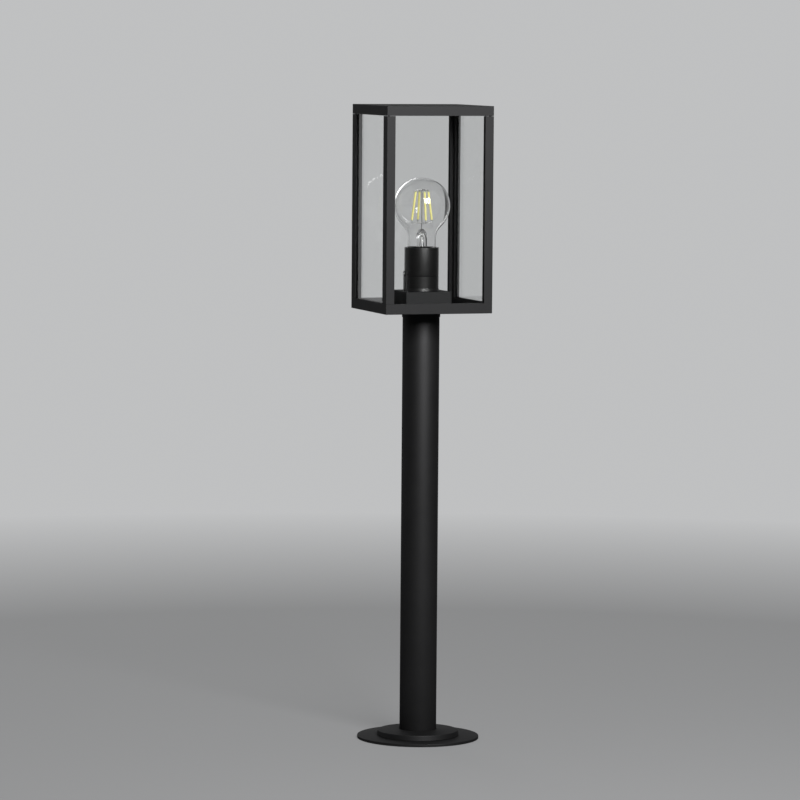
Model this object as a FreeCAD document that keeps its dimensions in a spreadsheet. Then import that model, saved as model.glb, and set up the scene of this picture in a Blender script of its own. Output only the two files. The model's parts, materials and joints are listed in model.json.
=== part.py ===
import FreeCAD, Part
import math
import os
import re

import Sketcher
from FreeCAD import Placement, Rotation, Vector

# A lantern lamp on a slim post, in millimetres, +Z up. The origin is the centre of the foot's
# underside. The lantern's glazed front faces -Y, and its left side faces -X.

# Driving sizes: name, value, what it measures. Angles are in degrees.
SIZES = (
    ("plate_diameter", 132.0, "foot plate across"),
    ("plate_thick", 3.0, "foot plate thickness"),
    ("plate_chamfer", 0.5, "bevel on the foot plate's rim"),
    ("anchor_circle", 66.0, "circle of the anchor holes"),
    ("anchor_hole", 6.5, "anchor hole across"),
    ("anchor_count", 3, "number of anchor holes"),
    ("cable_hole", 10.0, "hole in the foot plate for the supply cable"),
    ("cover_diameter", 89.0, "foot cover across"),
    ("cover_height", 5.6, "foot cover's wall height"),
    ("cover_rise", 1.2, "rise of the cover's top from its rim to the column"),
    ("cover_sheet", 1.2, "cover's sheet thickness"),
    ("cover_round", 0.9, "cover's rounded shoulder"),
    ("cover_gap", 0.4, "play between the cover and the column"),
    ("rest_gap", 0.2, "gap under the cover at rest"),
    ("column_diameter", 40.0, "column across"),
    ("column_wall", 2.0, "column wall"),
    ("column_length", 462.5, "column length"),
    ("plug_gap", 0.1, "play between a plug and the column's bore"),
    ("plug_bore", 14.0, "cable bore in the plugs"),
    ("socket_height", 24.0, "height of the plug at the column's foot"),
    ("spigot_length", 32.0, "length of the plug at the column's top"),
    ("plug_circle", 25.0, "circle of the screws into the plugs"),
    ("plug_screw", 4.0, "thread of the screws into the plugs"),
    ("plug_screw_length", 14.0, "length of the screws into the plugs"),
    ("plug_screw_count", 3, "number of screws into each plug"),
    ("grommet_bore", 7.5, "grommet bore"),
    ("grommet_height", 8.0, "grommet height"),
    ("grommet_flange", 3.0, "height of the grommet's wide end"),
    ("grommet_waist", 1.2, "how much the grommet narrows above its wide end"),
    ("set_screw", 4.0, "thread of the column's set screws"),
    ("set_screw_length", 5.0, "set screw length"),
    ("set_screw_runout", 0.5, "how much deeper than the set screw its thread goes"),
    ("set_screw_drop", 5.0, "set screws below the column's top"),
    ("set_screw_proud", 0.6, "how far a set screw stands out of the column"),
    ("set_screw_angle", -15.0, "bearing of the first set screw from +X"),
    ("lantern_width", 120.0, "lantern across, both ways"),
    ("tray_band", 11.0, "height of the lantern's lower frame"),
    ("post_length", 199.7, "corner post length"),
    ("seam_gap", 0.3, "gap between the posts and the lid"),
    ("lid_band", 10.5, "height of the lantern's lid frame"),
    ("frame_depth", 6.0, "thickness of the frames and posts"),
    ("outer_lip", 1.6, "lip outside the glass"),
    ("front_leg", 9.5, "post's leg along the front and rear"),
    ("side_leg", 12.5, "post's leg along the sides"),
    ("frame_round", 0.5, "rounding of the lantern's outer edges"),
    ("floor_thick", 2.0, "tray floor thickness"),
    ("groove_depth", 4.0, "depth of the glass grooves"),
    ("cushion_thick", 1.0, "rubber strip under each pane"),
    ("pane_thick", 3.0, "glass thickness"),
    ("pane_gap", 0.15, "play beside the glass in the tray and posts"),
    ("pane_end_gap", 0.5, "play at each upright edge of a pane"),
    ("pane_bite", 3.2, "how far the glass reaches into the lid"),
    ("lid_groove_gap", 0.3, "play beside the glass in the lid"),
    ("roof_thick", 1.5, "roof plate thickness"),
    ("roof_ledge", 3.0, "rim of the lid outside the roof plate"),
    ("roof_gap", 0.2, "gap around the roof plate"),
    ("corner_pad", 12.0, "width of the lid's inner corner pads"),
    ("corner_pad_thick", 3.0, "thickness of the lid's inner corner pads"),
    ("small_screw", 2.5, "thread of the post, roof and box screws"),
    ("small_screw_length", 10.0, "length of the post and box screws"),
    ("roof_screw_length", 4.0, "length of the roof screws"),
    ("pin_diameter", 2.6, "lid pin across"),
    ("pin_reach", 10.0, "how far a lid pin reaches into its post"),
    ("pin_seat", 5.0, "how far a lid pin sits in the lid"),
    ("pin_gap", 0.3, "play around a lid pin in its post"),
    ("head_sink", 0.2, "countersunk heads below the surface"),
    ("screw_gap", 0.15, "clearance around a screw in a plain hole"),
    ("thread_gap", 0.05, "clearance around a screw in its thread"),
    ("thread_relief", 0.4, "width and depth of the relief at the mouth of the spigot's threads"),
    ("box_width", 52.0, "terminal box across, both ways"),
    ("box_height", 19.5, "terminal box height"),
    ("box_wall", 1.5, "terminal box wall"),
    ("box_round", 1.0, "terminal box's upright edges"),
    ("box_boss", 3.5, "radius of the box's screw bosses"),
    ("block_length", 30.0, "terminal block along X"),
    ("block_depth", 12.0, "terminal block along Y"),
    ("block_height", 10.0, "terminal block height"),
    ("block_margin", 1.0, "terminal block to the box wall"),
    ("way_pitch", 10.0, "spacing of the ways in the terminal block"),
    ("way_tube", 4.9, "outside of a terminal tube"),
    ("way_bore", 3.0, "bore of a terminal tube"),
    ("way_screw", 3.0, "thread of a terminal screw"),
    ("clamp_offset", 17.0, "cable clamp's distance from the centre, along X"),
    ("clamp_setback", 4.0, "cable clamp's distance in front of the centre"),
    ("clamp_length", 22.0, "cable clamp's length"),
    ("clamp_width", 6.0, "cable clamp's width"),
    ("clamp_thick", 6.0, "cable clamp's thickness"),
    ("clamp_spacing", 16.0, "spacing of the clamp screws"),
    ("clamp_screw", 3.0, "thread of the clamp screws"),
    ("boss_height", 3.0, "height of the bosses on the tray floor"),
    ("boss_radius", 3.0, "radius of the clamp bosses"),
    ("earth_offset", 17.0, "earth boss from the centre, along X and Y"),
    ("earth_radius", 4.0, "radius of the earth boss and ring tag"),
    ("earth_thread", 4.0, "thread of the earth screw"),
    ("tag_thick", 0.8, "ring tag thickness"),
    ("tag_barrel", 3.4, "ring tag's barrel across"),
    ("tag_barrel_length", 6.0, "ring tag's barrel length"),
    ("tag_lift", 0.2, "ring tag's barrel above the ring's underside"),
    ("lead_diameter", 2.0, "internal lead across"),
    ("lead_spacing", 3.2, "spacing of the two leads in the lampholder's nipple"),
    ("nipple_diameter", 10.0, "nipple thread"),
    ("nipple_bore", 7.0, "nipple bore"),
    ("nipple_below", 5.0, "nipple below the box's top wall"),
    ("nipple_above", 4.0, "nipple above the box"),
    ("nut_height", 2.5, "nipple nut height"),
    ("nut_corners", 16.0, "nipple nut across corners"),
    ("holder_diameter", 37.0, "lampholder across"),
    ("holder_cap_height", 16.3, "height of the lampholder's lower half"),
    ("holder_skirt_height", 30.5, "height of the lampholder's upper half"),
    ("holder_joint", 0.2, "joint line between the lampholder's halves"),
    ("skirt_wall", 1.8, "wall of the lampholder's upper half"),
    ("skirt_round", 0.7, "rounding of the lampholder's rim"),
    ("holder_floor", 2.5, "floor of the lampholder's lower half"),
    ("holder_neck", 7.0, "neck of the lower half inside the upper half"),
    ("holder_neck_gap", 0.2, "play around that neck"),
    ("holder_neck_wall", 1.7, "wall of that neck"),
    ("tab_width", 11.0, "lampholder's locking tab, width"),
    ("tab_proud", 1.1, "how far the locking tab stands out"),
    ("tab_height", 21.5, "locking tab height"),
    ("lock_screw_height", 18.8, "lock screw above the lampholder's foot"),
    ("lock_screw", 2.0, "thread of the lock screw"),
    ("lock_head", 4.0, "lock screw's head across"),
    ("core_gap", 0.2, "play around the insulating core"),
    ("core_height", 13.0, "insulating core's height"),
    ("core_recess", 3.0, "recess under the core"),
    ("shell_height", 28.0, "threaded sleeve's height"),
    ("shell_bore", 27.0, "threaded sleeve's free bore"),
    ("shell_sheet", 0.4, "threaded sleeve's sheet"),
    ("shell_mouth", 18.0, "opening in the sleeve's floor"),
    ("thread_pitch", 3.629, "pitch of the bulb's thread"),
    ("thread_wave", 0.5, "depth of the sleeve's rolled rings"),
    ("thread_turns", 6, "number of rolled rings"),
    ("contact_rise", 1.0, "rise of the centre contact's tongue"),
    ("contact_sheet", 0.5, "centre contact's thickness"),
    ("contact_width", 5.0, "centre contact's width"),
    ("contact_reach", 6.0, "centre contact's reach each way"),
    ("tip_gap", 0.3, "gap between the centre contact and the bulb's tip"),
    ("bulb_length", 104.0, "bulb's whole length"),
    ("globe_radius", 29.8, "radius of the bulb's globe"),
    ("neck_radius", 15.3, "radius of the bulb's neck"),
    ("neck_blend", 18.0, "radius of the hollow between the neck and the globe"),
    ("glass_wall", 0.8, "bulb's glass thickness"),
    ("cap_radius", 13.0, "bulb cap's outer radius"),
    ("cap_wave", 0.8, "depth of the cap's thread"),
    ("cap_sheet", 0.35, "bulb cap's sheet"),
    ("cap_length", 21.0, "bulb cap's length"),
    ("cap_sleeve", 2.0, "plain rim at the top of the cap"),
    ("glue_gap", 0.2, "gap between the glass and the cap"),
    ("tip_height", 1.2, "height of the bulb's tip"),
    ("tip_radius", 4.8, "radius of the bulb's tip"),
    ("turn_gap", 0.1, "gap over the bulb's tip"),
    ("insulator_height", 4.0, "height of the bulb's insulator"),
    ("stem_radius", 5.7, "radius of the glass stem"),
    ("stem_height", 31.0, "stem height above the neck's lower end"),
    ("filament_diameter", 2.0, "lit rod across"),
    ("filament_length", 32.4, "lit rod's length"),
    ("filament_low_radius", 11.6, "lit rods' circle at their lower ends"),
    ("filament_lean", 7.8, "lean of a lit rod towards the centre"),
    ("filament_drop", 45.8, "lit rods' lower ends below the bulb's top"),
    ("filament_angle", 3.0, "bearing of the first lit rod"),
    ("filament_count", 4, "number of lit rods"),
    ("wire_radius", 0.35, "radius of the wires in the bulb"),
    ("wire_gap", 0.15, "gap between a wire and a lit rod's end"),
)
SIZE = {name: value for name, value, _ in SIZES}

# Levels, as formulas of the sizes.
TRAY_BASE = "(plate_thick + column_length)"
FLOOR_TOP = f"({TRAY_BASE} + floor_thick)"
BOSS_TOP = f"({FLOOR_TOP} + boss_height)"
TRAY_TOP = f"({TRAY_BASE} + tray_band)"
LID_BASE = f"({TRAY_TOP} + post_length + seam_gap)"
LID_TOP = f"({LID_BASE} + lid_band)"
ROOF_BASE = f"({LID_TOP} - roof_thick)"
BOX_TOP = f"({FLOOR_TOP} + box_height)"
BLOCK_TOP = f"({FLOOR_TOP} + block_height)"
WAY_LEVEL = f"({FLOOR_TOP} + block_height / 2)"
TAG_LEVEL = f"({BOSS_TOP} + tag_barrel / 2 + tag_lift)"
HOLDER_JOINT = f"({BOX_TOP} + holder_cap_height)"
HOLDER_TOP = f"({HOLDER_JOINT} + holder_joint + holder_skirt_height)"
CORE_BASE = f"({BOX_TOP} + holder_floor)"
CORE_TOP = f"({CORE_BASE} + core_height)"
CONTACT_TOP = f"({CORE_TOP} + contact_rise + contact_sheet)"
BULB_BASE = f"({CONTACT_TOP} + tip_gap)"
BULB_TOP = f"({BULB_BASE} + bulb_length)"
CAP_BASE = f"({BULB_BASE} + tip_height + turn_gap + insulator_height)"
CAP_TOP = f"({CAP_BASE} + cap_length)"
GLOBE_LEVEL = f"({BULB_TOP} - globe_radius)"

# Distances out from the centre.
HALF = "(lantern_width / 2)"
INSIDE = f"({HALF} - frame_depth)"
CORNER = f"({HALF} - frame_depth / 2)"
PANE_LINE = f"({HALF} - outer_lip - pane_gap - pane_thick / 2)"
PLUG_RADIUS = "(column_diameter / 2 - column_wall - plug_gap)"
SET_SCREW_TIP = "(column_diameter / 2 + set_screw_proud - set_screw_length)"
HOLDER_RADIUS = "(holder_diameter / 2)"
SKIRT_BORE = f"({HOLDER_RADIUS} - skirt_wall)"
HOLDER_NECK_RADIUS = f"({SKIRT_BORE} - holder_neck_gap)"
HOLDER_NECK_BORE = f"({HOLDER_NECK_RADIUS} - holder_neck_wall)"
BLOCK_LINE = "(box_width / 2 - box_wall - block_margin - block_depth / 2)"
BOX_BOSS_LINE = "(box_width / 2 - box_wall - box_boss + 0.5)"
PAD_CENTRE = f"({INSIDE} - corner_pad / 2)"

doc = FreeCAD.newDocument("lantern_floor_lamp")
sheet = doc.addObject("Spreadsheet::Sheet", "Sizes")
for row, (name, value, note) in enumerate(SIZES, start=1):
    sheet.set(f"A{row}", note)
    sheet.set(f"B{row}", str(value))
    sheet.setAlias(f"B{row}", name)
doc.recompute()

pieces = []


# ---- Helpers ------------------------------------------------------------------------------------


def rule(text):
    """A formula with the sheet's name put before each size in it."""
    return re.sub(r"[a-z_]+", lambda word: prefixed(word.group()), str(text))


def prefixed(word):
    """A size's name as the document's formulas spell it, or the word as it is."""
    return f"Sizes.{word}" if word in SIZE else word


def reading(text):
    """The present value of a formula."""
    return float(sheet.evalExpression(rule(text)))


def tie(thing, prop, text):
    """Bind a property to a formula of the sizes."""
    thing.setExpression(prop, rule(text))


def put(thing, x="0", y="0", z="0"):
    """Bind an object's place to three formulas."""
    tie(thing, "Placement.Base.x", x)
    tie(thing, "Placement.Base.y", y)
    tie(thing, "Placement.Base.z", z)
    return thing


def block(name, size, corner):
    """A box, from its three sizes and its low corner."""
    box = doc.addObject("Part::Box", name)
    for prop, text in zip(("Length", "Width", "Height"), size):
        tie(box, prop, text)
    return put(box, *corner)


def slab(name, width, height, z, depth=None, x="0", y="0"):
    """A box centred on an upright line."""
    depth = depth or width
    return block(name, (width, depth, height), (f"{x} - ({width}) / 2", f"{y} - ({depth}) / 2", z))


def rod(name, radius, height, x="0", y="0", z="0", turn=None):
    """A cylinder, upright unless turned."""
    cylinder = doc.addObject("Part::Cylinder", name)
    if turn:
        cylinder.Placement = Placement(Vector(), turn)
    tie(cylinder, "Radius", radius)
    tie(cylinder, "Height", height)
    return put(cylinder, x, y, z)


def cone(name, low, high, height, x="0", y="0", z="0"):
    """An upright cone from its low and high radii."""
    solid = doc.addObject("Part::Cone", name)
    tie(solid, "Radius1", low)
    tie(solid, "Radius2", high)
    tie(solid, "Height", height)
    return put(solid, x, y, z)


def hexagon(name, corners, height, x="0", y="0", z="0"):
    """An upright six-sided prism, from its size across corners."""
    prism = doc.addObject("Part::Prism", name)
    prism.Polygon = 6
    tie(prism, "Circumradius", f"({corners}) / 2")
    tie(prism, "Height", height)
    return put(prism, x, y, z)


def joined(name, solids):
    """One solid from several."""
    fuse = doc.addObject("Part::MultiFuse", name)
    fuse.Shapes = solids
    fuse.Refine = True
    return fuse


def together(name, solids):
    """Separate solids kept in one object."""
    group = doc.addObject("Part::Compound", name)
    group.Links = solids
    return group


def cut(name, base, tools):
    """A solid with the tools taken out of it."""
    result = doc.addObject("Part::Cut", name)
    result.Base = base
    result.Tool = tools[0] if len(tools) == 1 else joined(f"{name}_tools", tools)
    result.Refine = True
    return result


def shared(name, first, second):
    """What two solids have in common."""
    common = doc.addObject("Part::Common", name)
    common.Base = first
    common.Tool = second
    return common


def rounded(name, base, radius, chosen):
    """A solid with the chosen edges rounded."""
    doc.recompute()
    edges = enumerate(base.Shape.Edges, start=1)
    fillet = doc.addObject("Part::Fillet", name)
    fillet.Base = base
    fillet.Edges = [(number, radius, radius) for number, edge in edges if chosen(edge)]
    return fillet


def sub_part(name, thing):
    """Name a finished sub-part and keep it for export."""
    thing.Label = name
    pieces.append(thing)
    return thing


def bearings(count, first=90.0):
    """Evenly spaced bearings round the upright axis, in degrees."""
    return [first + 360.0 * step / count for step in range(int(count))]


def origin_plane(body, role):
    """One of a body's own origin planes."""
    return next(feature for feature in body.Origin.OriginFeatures if feature.Role == role)


def attached_sketch(body, name, role):
    """An empty sketch on one of a body's origin planes."""
    sketch = body.newObject("Sketcher::SketchObject", name)
    sketch.AttachmentSupport = (origin_plane(body, role), [""])
    sketch.MapMode = "FlatFace"
    return sketch


def arc_between(start, end, radius):
    """An arc from start to end, turning left for a positive radius and right for a negative one.

    Returns the arc and whether it runs from end to start, because arcs are kept turning left.
    """
    chord = end - start
    half = chord.Length / 2
    side = Vector(-chord.y, chord.x, 0).normalize() * math.copysign(1, radius)
    centre = (start + end) * 0.5 + side * math.sqrt(max(radius**2 - half**2, 0))
    first, last = (start, end) if radius > 0 else (end, start)
    angles = [math.atan2(point.y - centre.y, point.x - centre.x) for point in (first, last)]
    circle = Part.Circle(centre, Vector(0, 0, 1), abs(radius))
    return Part.ArcOfCircle(circle, *angles), radius < 0


def draw_outline(sketch, corners, curves=None):
    """A closed outline through the corners, given as pairs of formulas.

    curves gives, by the number of a side, the formula of its radius: positive where the outline
    turns left along it, negative where it turns right. Other sides are straight.
    """
    curves = curves or {}
    spots = [Vector(reading(x), reading(y), 0) for x, y in corners]
    ends = []
    for number, start in enumerate(spots):
        end = spots[(number + 1) % len(spots)]
        backwards = False
        if number in curves:
            shape, backwards = arc_between(start, end, reading(curves[number]))
        else:
            shape = Part.LineSegment(start, end)
        sketch.addGeometry(shape, False)
        ends.append((2, 1) if backwards else (1, 2))
    for number in range(len(spots)):
        after = (number + 1) % len(spots)
        joint = ("Coincident", number, ends[number][1], after, ends[after][0])
        sketch.addConstraint(Sketcher.Constraint(*joint))
    for number, (x, y) in enumerate(corners):
        corner = (number, ends[number][0])
        for way, text, axis in (("DistanceX", x, -2), ("DistanceY", y, -1)):
            if text == "0":
                sketch.addConstraint(Sketcher.Constraint("PointOnObject", *corner, axis))
                continue
            span = Sketcher.Constraint(way, -1, 1, *corner, reading(text))
            tie_constraint(sketch, span, f"{way[-1].lower()}_of_{number}", text)
    for number, text in curves.items():
        size = text.lstrip("-")
        radius = Sketcher.Constraint("Radius", number, reading(size))
        tie_constraint(sketch, radius, f"radius_of_{number}", size)


def tie_constraint(sketch, constraint, name, text):
    """Add a named constraint to a sketch and bind it to a formula."""
    number = sketch.addConstraint(constraint)
    sketch.renameConstraint(number, name)
    tie(sketch, f"Constraints.{name}", text)


def turned(name, outline, curves=None):
    """A body turned about the upright axis from an outline of (radius, height) pairs."""
    body = doc.addObject("PartDesign::Body", name)
    sketch = attached_sketch(body, f"{name}_outline", "XZ_Plane")
    draw_outline(sketch, outline, curves)
    spin = body.newObject("PartDesign::Revolution", f"{name}_spin")
    spin.Profile = sketch
    spin.ReferenceAxis = (sketch, ["V_Axis"])
    spin.Angle = 360
    return body


def padded(name, outline, height, z, curves=None):
    """A body raised from an outline of (x, y) pairs, standing at height z."""
    body = doc.addObject("PartDesign::Body", name)
    sketch = attached_sketch(body, f"{name}_outline", "XY_Plane")
    draw_outline(sketch, outline, curves)
    pad = body.newObject("PartDesign::Pad", f"{name}_pad")
    pad.Profile = sketch
    tie(pad, "Length", height)
    return put(body, z=z)


def countersunk_screw(name, size, length, x, y, face, up):
    """A countersunk screw with its head's face at a level and its shank running up (1) or down (-1)."""
    head = f"({size}) / 2"
    socket_depth = f"({size}) * 0.45"
    if up > 0:
        head_cone = cone(f"{name}_head", size, head, head, x, y, face)
        shank = rod(f"{name}_shank", head, f"{length} - {head}", x, y, f"{face} + {head}")
        socket = hexagon(f"{name}_socket", f"({size}) * 0.9", socket_depth, x, y, face)
    else:
        head_cone = cone(f"{name}_head", head, size, head, x, y, f"{face} - {head}")
        shank = rod(f"{name}_shank", head, f"{length} - {head}", x, y, f"{face} - ({length})")
        socket = hexagon(
            f"{name}_socket", f"({size}) * 0.9", socket_depth, x, y, f"{face} - {socket_depth}"
        )
    return cut(name, joined(f"{name}_blank", [head_cone, shank]), [socket])


def countersink(name, size, depth, x, y, surface, up):
    """The hole for a countersunk screw, cut up (1) or down (-1) from a surface."""
    wide = f"{size} + head_sink + screw_gap"
    narrow = f"({size}) / 2 + screw_gap"
    sink = f"(({size}) / 2 + head_sink)"
    if up > 0:
        mouth = cone(f"{name}_mouth", wide, narrow, sink, x, y, surface)
        shaft = rod(f"{name}_shaft", narrow, depth, x, y, surface)
    else:
        mouth = cone(f"{name}_mouth", narrow, wide, sink, x, y, f"{surface} - {sink}")
        shaft = rod(f"{name}_shaft", narrow, depth, x, y, f"{surface} - ({depth})")
    return joined(name, [mouth, shaft])


def pan_screw(name, size, length, x, y, seat):
    """A round-headed screw, head down on its seat, with a cross slot."""
    head = rod(f"{name}_head", f"({size}) * 0.9", f"({size}) * 0.65", x, y, seat)
    shank = rod(f"{name}_shank", f"({size}) / 2", length, x, y, f"{seat} - ({length})")
    slot_level = f"{seat} + ({size}) * 0.3"
    slots = [
        slab(f"{name}_slot_a", f"({size}) * 1.1", size, slot_level, f"({size}) * 0.22", x, y),
        slab(f"{name}_slot_b", f"({size}) * 0.22", size, slot_level, f"({size}) * 1.1", x, y),
    ]
    return cut(name, joined(f"{name}_blank", [head, shank]), slots)


def ring_spot(circle, bearing):
    """The x and y formulas of a spot on a circle, from its diameter and bearing."""
    return f"({circle}) / 2 * cos({bearing})", f"({circle}) / 2 * sin({bearing})"


def outward(bearing):
    """The turn that points an upright rod outwards along a bearing."""
    return Rotation(Vector(0, 0, 1), bearing) * Rotation(Vector(0, 1, 0), 90)


CORNERS = ((1, 1), (1, -1), (-1, -1), (-1, 1))
BOX_CORNERS = ((-1, 1), (1, -1))


def corner_spots(distance, corners=CORNERS):
    """The x and y formulas of the spots at the same distance along X and Y."""
    return [(f"{across} * {distance}", f"{along} * {distance}") for across, along in corners]


# ---- Foot ---------------------------------------------------------------------------------------


def make_base_plate():
    """The disc on the floor, with anchor holes in a circle."""
    radius = "plate_diameter / 2"
    outline = (
        ("0", "0"),
        (f"{radius} - plate_chamfer", "0"),
        (radius, "plate_chamfer"),
        (radius, "plate_thick - plate_chamfer"),
        (f"{radius} - plate_chamfer", "plate_thick"),
        ("0", "plate_thick"),
    )
    body = turned("plate_disc", outline)
    solid_volume = recomputed_volume(body)
    sketch = attached_sketch(body, "anchor_outline", "XY_Plane")
    reach = reading("anchor_circle / 2")
    hole = Part.Circle(Vector(0, reach, 0), Vector(0, 0, 1), reading("anchor_hole / 2"))
    sketch.addGeometry(hole, False)
    sketch.addConstraint(Sketcher.Constraint("PointOnObject", 0, 3, -2))
    height = Sketcher.Constraint("DistanceY", -1, 1, 0, 3, reach)
    tie_constraint(sketch, height, "reach", "anchor_circle / 2")
    width = Sketcher.Constraint("Diameter", 0, reading("anchor_hole"))
    tie_constraint(sketch, width, "width", "anchor_hole")
    pocket = body.newObject("PartDesign::Pocket", "anchor_pocket")
    pocket.Profile = sketch
    pocket.Type = "ThroughAll"
    pocket.Reversed = True
    pattern = body.newObject("PartDesign::PolarPattern", "anchor_pattern")
    pattern.Originals = [pocket]
    pattern.Axis = (sketch, ["N_Axis"])
    pattern.Angle = 360
    tie(pattern, "Occurrences", "anchor_count")
    body.Tip = pattern
    if recomputed_volume(body) > solid_volume - 1:
        raise RuntimeError("the anchor holes cut nothing")
    tools = [rod("plate_cable_hole", "cable_hole / 2", "plate_thick")]
    for bearing in bearings(SIZE["plug_screw_count"]):
        x, y = ring_spot("plug_circle", bearing)
        tools.append(countersink("plate_countersink", "plug_screw", "plate_thick", x, y, "0", 1))
    return sub_part("base_plate", cut("plate", body, tools))


def recomputed_volume(body):
    """A body's volume after a recompute."""
    doc.recompute()
    return body.Shape.Volume


def make_column_socket():
    """The turned plug on the plate, which the column stands over."""
    blank = rod("socket_blank", PLUG_RADIUS, "socket_height", z="plate_thick")
    tools = [rod("socket_bore", "plug_bore / 2", "socket_height", z="plate_thick")]
    for bearing in bearings(SIZE["plug_screw_count"]):
        x, y = ring_spot("plug_circle", bearing)
        radius = "plug_screw / 2 + thread_gap"
        tools.append(rod("socket_thread", radius, "plug_screw_length", x, y, "plate_thick"))
    return sub_part("column_socket", cut("socket", blank, tools))


def make_socket_screws():
    """Screws up through the plate into the socket."""
    screws = []
    for bearing in bearings(SIZE["plug_screw_count"]):
        x, y = ring_spot("plug_circle", bearing)
        length = "plug_screw_length - head_sink"
        screws.append(
            countersunk_screw("socket_screw", "plug_screw", length, x, y, "head_sink", 1)
        )
    return sub_part("socket_screws", together("socket_screw_set", screws))


def make_cable_grommet():
    """The rubber bush in the socket's bore, where a supply cable comes in."""
    wide = "plug_bore / 2 - plug_gap"
    outline = (
        ("grommet_bore / 2", "plate_thick"),
        (wide, "plate_thick"),
        (wide, "plate_thick + grommet_flange"),
        (f"{wide} - grommet_waist", "plate_thick + grommet_flange"),
        (f"{wide} - grommet_waist", "plate_thick + grommet_height"),
        ("grommet_bore / 2", "plate_thick + grommet_height"),
    )
    return sub_part("cable_grommet", turned("grommet", outline))


def make_base_cover():
    """The pressed cover round the column's foot, which slides up the column."""
    edge = "cover_diameter / 2"
    inner = "column_diameter / 2 + cover_gap"
    rim = "(plate_thick + rest_gap)"
    shoulder = f"({rim} + cover_height)"
    outline = (
        (f"{edge} - cover_sheet", rim),
        (edge, rim),
        (edge, f"{shoulder} - cover_round"),
        (f"{edge} - cover_round", shoulder),
        (inner, f"{shoulder} + cover_rise"),
        (inner, f"{shoulder} + cover_rise - cover_sheet"),
        (f"{edge} - cover_sheet", f"{shoulder} - cover_sheet"),
    )
    return sub_part("base_cover", turned("cover", outline, {2: "cover_round"}))


# ---- Column -------------------------------------------------------------------------------------


def set_screw_tools(radius, start, length):
    """Rods along the set screws' lines, from a distance out from the centre."""
    rods = []
    for bearing in bearings(2, SIZE["set_screw_angle"]):
        x = f"({start}) * cos({bearing})"
        y = f"({start}) * sin({bearing})"
        z = f"{TRAY_BASE} - set_screw_drop"
        rods.append(rod("set_screw_line", radius, length, x, y, z, outward(bearing)))
    return rods


def make_column():
    """The round tube, drilled near its top for the set screws."""
    body = doc.addObject("PartDesign::Body", "tube")
    sketch = attached_sketch(body, "tube_outline", "XY_Plane")
    rings = (("outside", "column_diameter"), ("bore", "column_diameter - 2 * column_wall"))
    for number, (name, text) in enumerate(rings):
        sketch.addGeometry(Part.Circle(Vector(), Vector(0, 0, 1), reading(text) / 2), False)
        sketch.addConstraint(Sketcher.Constraint("Coincident", number, 3, -1, 1))
        width = Sketcher.Constraint("Diameter", number, reading(text))
        tie_constraint(sketch, width, name, text)
    pad = body.newObject("PartDesign::Pad", "tube_pad")
    pad.Profile = sketch
    tie(pad, "Length", "column_length")
    put(body, z="plate_thick")
    tools = set_screw_tools(
        "set_screw / 2 + screw_gap", "column_diameter / 2 - 2 * column_wall", "4 * column_wall"
    )
    return sub_part("column", cut("drilled_tube", body, tools))


def make_head_spigot():
    """The turned plug in the column's top."""
    base = f"{TRAY_BASE} - spigot_length"
    blank = rod("spigot_blank", PLUG_RADIUS, "spigot_length", z=base)
    tools = [rod("spigot_bore", "plug_bore / 2", "spigot_length", z=base)]
    for bearing in bearings(SIZE["plug_screw_count"]):
        x, y = ring_spot("plug_circle", bearing)
        radius = "plug_screw / 2 + thread_gap"
        level = f"{TRAY_BASE} - plug_screw_length"
        tools.append(rod("spigot_thread", radius, "plug_screw_length", x, y, level))
        relief = f"{TRAY_BASE} - thread_relief"
        wide = "plug_screw / 2 + thread_relief"
        tools.append(rod("spigot_relief", wide, "thread_relief", x, y, relief))
    start = f"({SET_SCREW_TIP} - set_screw_runout)"
    tools += set_screw_tools("set_screw / 2 + thread_gap", start, "set_screw_length")
    return sub_part("head_spigot", cut("spigot", blank, tools))


def make_spigot_screws():
    """Screws down through the tray's floor into the spigot."""
    screws = []
    for bearing in bearings(SIZE["plug_screw_count"]):
        x, y = ring_spot("plug_circle", bearing)
        face = f"{FLOOR_TOP} - head_sink"
        screws.append(
            countersunk_screw("spigot_screw", "plug_screw", "plug_screw_length", x, y, face, -1)
        )
    return sub_part("spigot_screws", together("spigot_screw_set", screws))


def make_head_set_screws():
    """The socket set screws that lock the column on the spigot."""
    bodies = set_screw_tools("set_screw / 2", SET_SCREW_TIP, "set_screw_length")
    depth = "(set_screw / 2)"
    tips = set_screw_tools("set_screw / 4", f"{SET_SCREW_TIP} + set_screw_length - {depth}", depth)
    screws = [cut("set_screw", body, [tip]) for body, tip in zip(bodies, tips)]
    return sub_part("head_set_screws", together("set_screw_pair", screws))


# ---- Lantern ------------------------------------------------------------------------------------


def on_outer_edge(edge, levels=()):
    """Whether an edge is an upright corner of the lantern, or lies round its outside at a level."""
    box = edge.BoundBox
    half = reading(HALF)
    reach = max(abs(box.XMin), abs(box.XMax), abs(box.YMin), abs(box.YMax))
    if abs(reach - half) > 0.01:
        return False
    if box.ZLength > 0.01:
        return box.XLength < 0.01 and box.YLength < 0.01
    return any(abs(box.ZMin - level) < 0.01 for level in levels)


def groove_tools(name, width, base, height):
    """The four grooves for the glass, as boxes."""
    length = f"2 * {INSIDE}"
    tools = []
    for side in (-1, 1):
        line = f"{side} * {PANE_LINE}"
        tools.append(slab(f"{name}_along_x", length, height, base, width, y=line))
        tools.append(slab(f"{name}_along_y", width, height, base, length, x=line))
    return tools


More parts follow.
